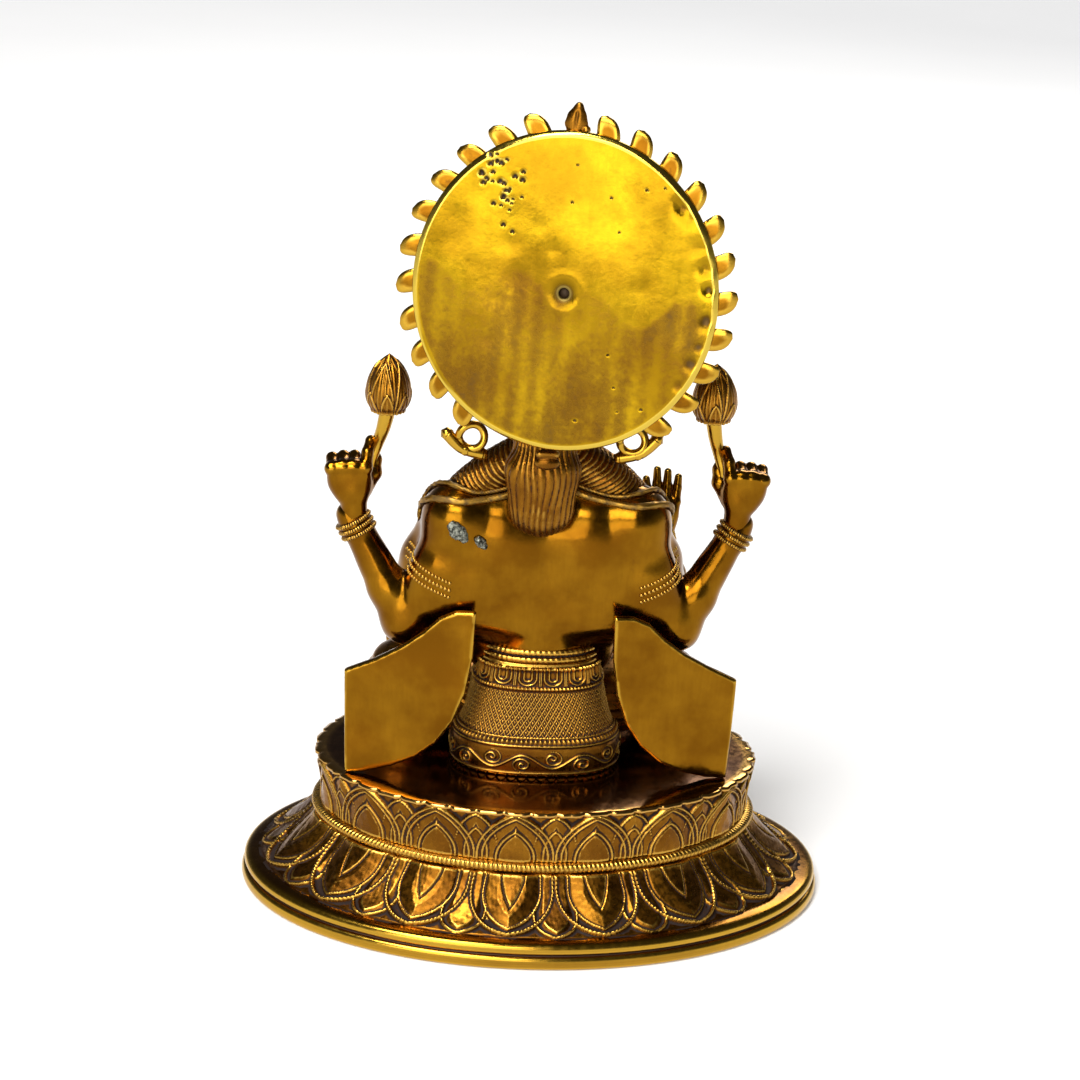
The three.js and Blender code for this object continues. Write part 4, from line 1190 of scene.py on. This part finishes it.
# ---------- head, hair and crown ----------
def sculpt_head():
    clay = Clay(at(-19, -19, 171), at(19, 26, 222), 0.36)
    placed(clay, at, [(0, 6, 201, 14.3, 16.4, 17, 1), (0, 1.8, 190, 12.0, 12.8, 14.4, 5),
                      (0, -6.8, 180.2, 4.6, 4.0, 3.9, 5)])
    clay.add(rod(at(0, 7.5, 170), at(0, 6.5, 184), 8.4, 7.8), 3)
    clay.add(rod(at(0, -12.2, 200.5), at(0, -14.6, 192.6), 1.15, 1.7), 1.6)
    placed(clay, at, [(0, -14.9, 191.7, 1.9, 1.7, 1.5, 0.8)])
    for side in (LEFT, RIGHT):
        spot = beside(side)
        placed(clay, spot, [(6.4, -5.4, 188, 5.2, 4.8, 5.0, 4), (1.9, -13.4, 190.9, 1.25, 1.5, 1.1, 0.7)])
        placed(clay, spot, [(0.95, -14.6, 189.7, 0.45, 0.7, 0.6, 0.3),
                            (5.7, -14.6, 197.2, 4.6, 3.0, 3.0, 2.2)], -1)
        placed(clay, spot, [(5.4, -8.2, 196.8, 3.7, 3.2, 2.3, 1.1)])
        lid = [spot(2.3, -11.6, 196.3), spot(3.7, -11.9, 197.7), spot(5.5, -11.7, 198.2),
               spot(7.3, -10.7, 197.7), spot(8.6, -9.2, 196.8)]
        clay.stroke(lid, 12, [0.34, 0.34], 0.9)
        brow = [spot(2.2, -11.7, 200.8), spot(4.6, -11.3, 202.0), spot(7.2, -10.0, 202.0),
                spot(9.4, -7.8, 200.8)]
        clay.chain(smooth_path(brow, 14), along_line(14, [0, 0.4, 1], [0.5, 0.6, 0.25]), 2.2)
        placed(clay, spot, [(5.5, -12.5, 196.7, 0.75, 0.6, 0.75, 0.25)], -1)
        placed(clay, spot, [(14.2, 5.6, 195.5, 2.0, 3.7, 6.4, 1)])
        placed(clay, spot, [(16.2, 4.6, 196.2, 1.4, 2.0, 4.2, 0.8)], -1)
        clay.chain([spot(14.6, 4.2, 190), spot(16.0, 4.0, 186.5)], [1.9, 1.6])
    placed(clay, at, [(0, -8.9, 185.4, 6.0, 3.0, 4.4, 3.5)])
    upper_lip = mirrored((0, -12.7, 185.5), (0.7, -12.7, 185.8), (2.0, -12.2, 185.4), (3.9, -10.7, 184.9))
    clay.stroke(upper_lip, 19, [0.3, 0.8, 0.3], 1.4)
    lower_lip = mirrored((0, -12.4, 183.4), (1.5, -12.0, 183.6), (3.2, -10.9, 184.2))
    clay.stroke(lower_lip, 15, [0.35, 1.0, 0.35], 1.4)
    seam = mirrored((0, -13.7, 184.55), (2.0, -13.1, 184.5), (4.1, -11.2, 184.7))
    clay.stroke(seam, 15, [0.16, 0.16], 0.3, -1)
    placed(clay, at, [(0, -10.9, 206.6, 1.0, 0.9, 1.3, 0.2)])

    def hair(x, y, z):
        out = np.abs(x - CENTRE_X)
        line = 207 - 0.9 * out - smoothstep(y + 0 * x, 0, 12) * 30
        behind = smoothstep(z + 0 * x + 0 * y, line, line + 1.0) * smoothstep(out + 0 * z + y * 0.7, 2, 5)
        angle = np.arctan2(x - CENTRE_X, y - 4)
        return (behind * (0.55 + 0.22 * np.cos(angle * 34 + 0 * z))).astype(np.float32)

    clay.emboss(hair)
    return clay


def build_head():
    clay = sculpt_head()
    polished("face", clay.surface(), "head", hollow=0.25)
    bun_low, bun_high = low("hair_bun"), high("hair_bun")
    cx = mid("hair_bun")[0]
    bun = Clay(bun_low - 3, bun_high + 3, 0.4)
    bun.add(ball([cx - 0.8, 23, bun_high[2] - 10], (12, 9.6, 9.6)))
    bun.add(ball([cx, 26.6, 176.5], (14.0, 9.8, 10.5)), 5)
    bun.add(ball([cx, 27.2, 164], (12.2, 9.2, 12.6)), 6)

    def strands(x, y, z):
        angle = np.arctan2(x - cx, y - 17)
        bend = 0.18 * wave_noise(x, y, z, 22, 31, 2)
        comb = np.abs(np.sin((angle + bend * 0.4) * 24 + 0 * z)) ** 0.6
        fine = np.cos((angle + bend * 0.4) * 10 + 0 * z)
        return (0.62 * comb + 0.12 * fine - 0.4).astype(np.float32)

    bun.emboss(strands)
    aged("bun", bun.surface(), "hair_bun", hollow=0.3)
    clasp = mid("bun_clasp")
    knot = Clay(low("bun_clasp") - 5, high("bun_clasp") + 5, 0.3)
    knot.add(ball(clasp + [0, -0.4, -1.0], (4.6, 2.2, 2.6)))
    loop = high("bun_clasp")[2] - 2 - clasp[2]
    knot.add(rod(clasp + [-2.8, -0.2, loop], clasp + [2.8, -0.2, loop], 1.5), 0.8)
    knot.cut(rod(clasp + [-5, 2.2, 0.6], clasp + [5, 2.2, 0.6], 0.5), 0.4)
    for k in range(-2, 3):
        knot.cut(rod(clasp + [k * 1.6, 2.4, -4], clasp + [k * 1.6, 2.4, -0.4], 0.35), 0.4)
    aged("clasp", knot.surface(), "bun_clasp", hollow=0.25)
    for word, side in SIDES.items():
        earring = mid(f"earring_{word}")
        angle = circle(40)
        ring = np.stack([0 * angle, 3.0 * np.cos(angle), 3.8 * np.sin(angle)], -1) + earring + [0, 0, 1.6]
        parts = [tube(ring, 0.9, 8, closed=True), beads(evenly(ring + [side * 0.7, 0, 0], 1.7, True), 0.75),
                 beads([earring + [0, 0, 1.6]], 1.7), beads([earring + [0, 0, -3.6]], 1.9)]
        aged(f"ear_ornament_{word}", joined(*parts), f"earring_{word}")
        node = f"ribbon_{word}"
        centre = mid(node)
        loop_x = outer_x(node, -side) + side * 8.6
        loop_z = high(node)[2] - 6.2
        loop = [loop_x + 4.6 * np.cos(angle), centre[1] + 0.6 * np.sin(2 * angle),
                loop_z + 4.6 * np.sin(angle)]
        loop = np.stack(loop, -1)
        tail_end = [outer_x(node, side) - side * 2.4, centre[1], high(node)[2] - 5.4]
        knot_point = np.array([loop_x + side * 2.2, centre[1], loop_z - 5.2])
        tail = smooth_path([knot_point - [side * 6.5, 1, 1.6], knot_point,
                            (knot_point + tail_end) / 2 - [0, 0, 0.7], tail_end], 30)
        parts = [tube(loop, 1.5, 14, closed=True),
                 tube(tail, along_line(30, [0, 0.3, 1], [2.4, 1.9, 2.3]), 14),
                 beads([knot_point, tail[0]], 2.4), beads([tail_end], 2.6)]
        make_piece(f"ribbon_bow_{word}", joined(*parts), POLISHED, "aged_brass", [node])


def build_crown():
    foot, top = low("crown")[2], high("crown")[2]
    centre = at(0, mid("crown")[1], 0)
    tiers = [(18.0, 205), (17.2, 214), (14.4, 225), (11.2, 236), (8.0, 246), (5.0, 255)]
    profile = [(14, foot)]
    for (radius, z), (_, next_z) in zip(tiers[:-1], tiers[1:]):
        profile += [(radius - 0.9, z), (radius, z + 1.2), (radius - 0.2, z + 2.6), (radius - 1.6, z + 3.2),
                    (radius - 2.2, next_z - 0.6)]
    profile += [(4.6, 255), (5.4, 257.5), (5.0, 259.5), (2.8, 262), (2.2, 265), (0.05, top)]
    line, steps = resample(profile, 210)
    heights = line[:, 1]

    def jewels(share, along):
        z = np.interp(along, steps, heights) + 0 * share
        out = np.zeros(z.shape)
        for (radius, base), (_, next_z) in zip(tiers[:-1], tiers[1:]):
            count = int(TAU * radius / 2.2)
            bead = np.hypot(cell(share, count) * 1.1, z - base - 1.6)
            out += 0.5 * hump(bead, 0.75)
            petals = max(int(radius * 0.75), 5)
            pitch = math.pi * radius / petals
            height = next_z - base - 4
            v = (z - base - 3.4) / height
            inside = leaf(v, np.abs(cell(share, petals)) + 0 * v, 0.05, 0.95, 0.92, 0.7, pitch, height)
            shape = step_curve(inside, (-0.2, 0), (0.1, 0.75), (0.6, 0.75), (0.9, 0.15), (1.6, 0.3),
                               (2.4, 0.8))
            out += shape * (v > 0) * (v < 1)
        return out

    points = turned(profile, 420, 210, jewels, centre)
    aged("crown_tiers", loft(points), "crown", hollow=0.2)


# ---------- halo ----------
def halo_frame():
    points, axes = plate_axes("halo_disc")
    centre = mid("halo_disc")
    local = (points - centre) @ axes.T
    return centre, axes, (local.max(0) - local.min(0)) / 2


HALO_CENTRE, HALO_AXES, HALO_HALF = halo_frame()
HALO_THICK = 2 * HALO_HALF[1]
FRONT_PLATE = -HALO_THICK - 0.4  # the front plate's back face, counted from the disc's back face
HALO_TOP = HALO_HALF[2]
HALO_HOLE = 3.4
HALO_PETALS = 28
BARE_PETALS = 2  # left out on each side of the lowest petal, over the bun
PIT_DEPTH = 0.8


def from_halo(points):
    """Places points given as (sideways, towards the back, up) from the middle of the disc's back face."""
    return HALO_CENTRE + (np.asarray(points, float) + [0, HALO_HALF[1], 0]) @ HALO_AXES


def on_halo(skin):
    """A skin's points as (sideways, towards the back, up) from the middle of the disc."""
    return ((skin[0] - HALO_CENTRE) @ HALO_AXES.T).T


def disc(profile, surface, half=HALO_HALF):
    """A disc in the halo's plane. The profile lists (share of the radius, depth), from front to back."""
    angle = circle(720)[:, None]
    share, depth = np.transpose(profile)
    x = np.cos(angle) * share * half[0]
    z = np.sin(angle) * share * half[2]
    y = depth + 0 * x
    return loft(from_halo(np.stack([x, y + surface(x, z, share, y), z], -1)), capped=False)


def build_halo_back():
    rng = np.random.default_rng(12)
    front = [(share, -HALO_THICK) for share in np.linspace(0.035, 0.965, 150)[::30]]
    edge = [(0.99, -HALO_THICK), (1.0, -HALO_THICK + 0.5), (1.0, -1.2), (0.992, -0.75), (0.978, -0.2)]
    back = [(share, 0) for share in np.linspace(0.966, 0.035, 190)]
    pits = []
    for count, side, side_spread, up, up_spread, widest in ((26, 26, 5, 40, 6, 0.8), (12, 20, 3, 31, 5, 0.7)):
        pits += [(rng.normal(side, side_spread), rng.normal(up, up_spread), rng.uniform(0.3, widest),
                  PIT_DEPTH) for _ in range(count)]
    pits += [(rng.uniform(-35, 35), rng.uniform(-45, 45), rng.uniform(0.2, 0.35), PIT_DEPTH)
             for _ in range(12)]
    dents = [(50 * math.cos(a), 52 * math.sin(a), rng.uniform(1.6, 3.0), rng.uniform(0.15, 0.45))
             for a in rng.uniform(2.4, 3.9, 16)]
    dents += [(rng.uniform(-40, 40), rng.uniform(-42, 42), rng.uniform(2.5, 5.0), rng.uniform(0.03, 0.09))
              for _ in range(26)]

    def hammered(x, z, share, y):
        radius = np.hypot(x, z)
        wave = 0.42 * wave_noise(x, z * 0.6, 0 * x, 58, 44, 2)
        wave = wave + 0.035 * wave_noise(x, z * 0.25, 0 * x, 8, 45, 2)
        wave = wave - 1.1 * hump(radius, HALO_HOLE) + 0.10 * hump(radius - 6.0, 2.0)
        for side, up, width, deep in pits + dents:
            wave = wave - deep * hump(np.hypot(x - side, z - up), width)
        return wave * smoothstep(y, -0.6, -0.1) - 0.25

    skin = disc(front + edge + back, hammered)
    x, _, z = on_halo(skin)
    dirt = 0.9 * np.exp(-((np.hypot(x, z) / HALO_HOLE) ** 4))
    for side, up, width, _ in pits:
        dirt = np.maximum(dirt, 1.2 * hump(np.hypot(x - side, z - up), 1.1 * width))
    # Painted shade on the lower part of the disc, below a wavy line, in an uneven amount.
    shade_line = z + 9 * wave_noise(x, 0 * x, 0 * x, 46, 47, 2)
    painted_shade_and_tone = (0.17 + 0.10 * wave_noise(x, z * 0.25, 0 * x, 12, 48, 2)) * smoothstep(-shade_line, -2, 3)
    make_piece("halo_back", skin, HALO_BRASS, "polished_brass", ["halo_disc"], np.minimum(dirt, 1), 0.14,
               painted_shade_and_tone)


def halo_front():
    share = np.concatenate([np.linspace(0.985, 0.05, 40), np.linspace(0.05, 0.985, 150)])
    depth = np.repeat([FRONT_PLATE, FRONT_PLATE - 2.2], [40, 150])

    def rays(x, z, share, y):
        angle = np.arctan2(z, x)
        front = smoothstep(-y, -FRONT_PLATE + 0.8, -FRONT_PLATE + 1.6)
        ring = smoothstep(share, 0.42, 0.5) * (1 - smoothstep(share, 0.8, 0.84))
        ripple = ring * np.cos(angle * HALO_PETALS)
        petals = np.abs(np.cos(angle * HALO_PETALS / 2)) ** 0.5
        petals = petals * smoothstep(share, 0.2, 0.25) * (1 - smoothstep(share, 0.34, 0.40))
        rings = sum(hump(share - place, 0.012) for place in (0.16, 0.42, 0.83, 0.93))
        return -front * (0.45 * ripple + 0.6 * petals + 0.7 * rings - 0.3)

    return disc(np.stack([share, depth], -1), rays, HALO_HALF - [1.5, 0, 1.5])


def build_halo_petals():
    parts = [halo_front()]
    s = np.linspace(0, 1, 16)
    lean = -2.6 * s**1.6
    wide = 4.2 * np.clip(1 - s**4.5, 0.0005, 1) ** 0.5
    reach = (-2.5 + s * 9.0)[:, None]
    thin = 1.3 * np.sqrt(np.clip(1 - s**3, 0.02, 1))
    angle = circle(16)[:, None]
    u = wide * np.cos(angle)
    w = thin * np.sin(angle) + 0.5 * (np.abs(u) / 3.9) ** 2
    for i in range(1, HALO_PETALS):
        if abs(i - HALO_PETALS // 2) <= BARE_PETALS:
            continue
        a = math.pi / 2 - i / HALO_PETALS * TAU
        out = np.array([math.cos(a), math.sin(a)])
        cross = np.array([-out[1], out[0]])
        flat = (HALO_HALF[[0, 2]] + reach) * out + (u + lean)[..., None] * cross
        parts.append(loft(from_halo(np.stack([flat[..., 0], FRONT_PLATE - 0.9 + w, flat[..., 1]], -1))))
    skin = joined(*parts)
    x, _, z = on_halo(skin)
    out = np.hypot(x / HALO_HALF[0], z / HALO_TOP)
    # Painted shade at the petals' roots by the disc's rim, with an uneven tone over the petals.
    painted_shade_and_tone = 0.30 * (1 - smoothstep(out, 1.0, 1.11)) + 0.10 * wave_noise(*skin[0].T, 6, 49, 2)
    painted_shade_and_tone = painted_shade_and_tone * smoothstep(out, 0.96, 0.99)
    make_piece("halo_petals", skin, POLISHED, "aged_brass", ["halo_petal_ring"], hollow=0.2, painted_shade_and_tone=painted_shade_and_tone)


def build_finial():
    depth = FRONT_PLATE - 1.0
    corners = from_halo([[-8, -8, HALO_TOP - 4], [8, 0, HALO_TOP + 12]])
    clay = Clay(corners.min(0) - 6, corners.max(0) + 6, 0.3)
    for x, z, wide, thin, tall in ((0, -1, 3.0, 1.3, 2.6), (-0.2, 2, 4.1, 1.5, 2.6),
                                   (-0.3, 4.6, 3.4, 1.4, 2.6), (-0.7, 6.6, 1.8, 1.0, 2.6),
                                   (-1.1, 8.0, 0.7, 0.6, 1.0)):
        clay.add(ball(from_halo([x, depth, HALO_TOP + z]), (wide, thin, tall), HALO_AXES), 1.6)
    foot, tip = from_halo([[0, depth + 2.1, HALO_TOP], [-0.6, depth + 1.7, HALO_TOP + 6]])
    clay.cut(rod(foot, tip, 0.5), 0.6)
    clay.add(ball(from_halo([-3.8, depth, HALO_TOP + 0.2]), 1.5), 0.5)
    aged("finial", clay.surface(), "halo_finial", hollow=0.25)


def build_halo():
    build_halo_back()
    build_halo_petals()
    turn = circle(600)
    ring = [np.cos(turn) * (HALO_HALF[0] - 8), 0 * turn + FRONT_PLATE - 3.6, np.sin(turn) * (HALO_TOP - 8)]
    ring = from_halo(np.stack(ring, -1))
    parts = [tube(ring, 1.2, 8, closed=True), beads(evenly(ring - HALO_AXES[1] * 0.7, 2.5, True), 1.25)]
    aged("halo_pearls", joined(*parts), "halo_front_ring")
    build_finial()
    skin = tube(from_halo([[0, y, 0] for y in np.linspace(-2.4, -33, 12)]), 2.4, 20)
    dirt = 0.95 * smoothstep(on_halo(skin)[1], HALO_HALF[1] - 4, HALO_HALF[1] - 2.8)
    make_piece("peg", skin, AGED, "polished_brass", ["halo_peg"], dirt)


def build_solder():
    for name, node in (("solder_large", "solder_patch_large"), ("solder_small", "solder_patch_small")):
        centre = mid(node)
        half = (high(node) - low(node)) / 2
        clay = Clay(low(node) - 3, high(node) + 3, 0.25)
        clay.add(ball(centre, (half[0] * 0.72, 1.5, half[2] * 0.62)))
        clay.add(ball(centre + [half[0] * 0.35, 0, half[2] * 0.42], (half[0] * 0.55, 1.5, half[2] * 0.5)), 1)
        clay.add(ball(centre - [half[0] * 0.5, 0, half[2] * 0.5], (half[0] * 0.4, 1.3, half[2] * 0.4)), 1)
        clay.emboss(lambda x, y, z: (0.22 * wave_noise(x, y, z, 2.2, 71, 2)).astype(np.float32))
        make_piece(name, clay.surface(), SOLDER, "solder", [node])


def floor_and_light():
    data = bpy.data.meshes.new("floor")
    reach = 6.0
    corners = [(x * reach, y * reach, 0) for x, y in ((-1, -1), (1, -1), (1, 1), (-1, 1))]
    data.from_pydata(corners, [], [(0, 1, 2, 3)])
    floor = bpy.data.objects.new("floor", data)
    floor.location.z = -0.0002
    bpy.context.scene.collection.objects.link(floor)
    n = Nodes("floor_white")
    tone = n.mix(n.noise(4.0), (0.80, 0.80, 0.80, 1), (0.84, 0.84, 0.84, 1))
    white = n.finish(Base_Color=tone, Roughness=0.7, Emission_Color=(1, 1, 1, 1), Emission_Strength=0.14)
    data.materials.append(white)

    scene = bpy.context.scene
    scene.view_settings.view_transform = "Standard"
    world = bpy.data.worlds.new("studio")
    world.use_nodes = True
    scene.world = world
    tree = world.node_tree
    sky = tree.nodes.new("ShaderNodeTexCoord")
    split = tree.nodes.new("ShaderNodeSeparateXYZ")
    ramp = tree.nodes.new("ShaderNodeValToRGB")
    tree.links.new(sky.outputs["Generated"], split.inputs[0])
    tree.links.new(split.outputs["Z"], ramp.inputs[0])
    ramp.color_ramp.elements.new(0.08)
    tones = ((0.0, (0.85, 0.85, 0.85, 1)), (0.08, (0.30, 0.30, 0.30, 1)), (0.35, (0.06, 0.06, 0.065, 1)))
    for stop, (height, tone) in zip(ramp.color_ramp.elements, tones):
        stop.position = height
        stop.color = tone
    tree.links.new(ramp.outputs[0], tree.nodes["Background"].inputs[0])
    tree.nodes["Background"].inputs[1].default_value = 0.9

    def lamp(name, kind, energy, place, target, size=1.0, size_y=None, tint=(1, 1, 1)):
        data = bpy.data.lights.new(name, kind)
        data.energy = energy
        data.color = tint
        if kind == "AREA":
            data.shape = "RECTANGLE"
            data.size = size
            data.size_y = size_y or size
        else:
            data.angle = size
        lamp_object = bpy.data.objects.new(name, data)
        lamp_object.location = place
        aim = np.asarray(target, float) - np.asarray(place, float)
        lamp_object.rotation_euler = Vector(aim).to_track_quat("-Z", "Y").to_euler()
        scene.collection.objects.link(lamp_object)

    lamp("sun", "SUN", 3.1, (1.2, 1.6, 3.0), (0, 0, 0), 0.45)
    lamp("softbox_high", "AREA", 14, (0.5, 1.5, 1.15), (0, 0, 0.2), 1.1, 0.5, (1, 0.96, 0.88))
    lamp("softbox_low", "AREA", 10, (0.56, 1.56, 0.405), (0, 0, 0.24), 1.3, 0.62, (1, 0.95, 0.85))
    lamp("softbox_front", "AREA", 14, (-0.6, -1.4, 1.2), (0, 0, 0.18), 1.0, 0.6, (1, 0.97, 0.92))


def camera():
    """The view from behind, slightly to the statue's left and above, as a long-lens picture."""
    eye = np.array([63.2, 900, 469.8])
    target = np.array([2.5, 0, 139.8])
    roll = math.radians(2.88)
    forward = unit(target - eye)
    right = unit(np.cross(forward, [0, 0, 1]))
    up = np.cross(right, forward)
    right, up = math.cos(roll) * right + math.sin(roll) * up, -math.sin(roll) * right + math.cos(roll) * up
    data = bpy.data.cameras.new("camera")
    data.sensor_width = 36
    data.lens = 85.3
    data.clip_start = 0.01
    data.clip_end = 50
    eye_object = bpy.data.objects.new("camera", data)
    eye_object.matrix_world = Matrix([[right[k], up[k], -forward[k], eye[k] * MM]
                                      for k in range(3)] + [[0, 0, 0, 1]])
    bpy.context.scene.collection.objects.link(eye_object)
    bpy.context.scene.camera = eye_object


camera()
floor_and_light()
build_base()
build_body()
build_bangles()
build_rear_hands()
build_front_hands()
build_legs()
build_skirt()
build_sashes()
build_head()
build_crown()
build_halo()
build_solder()
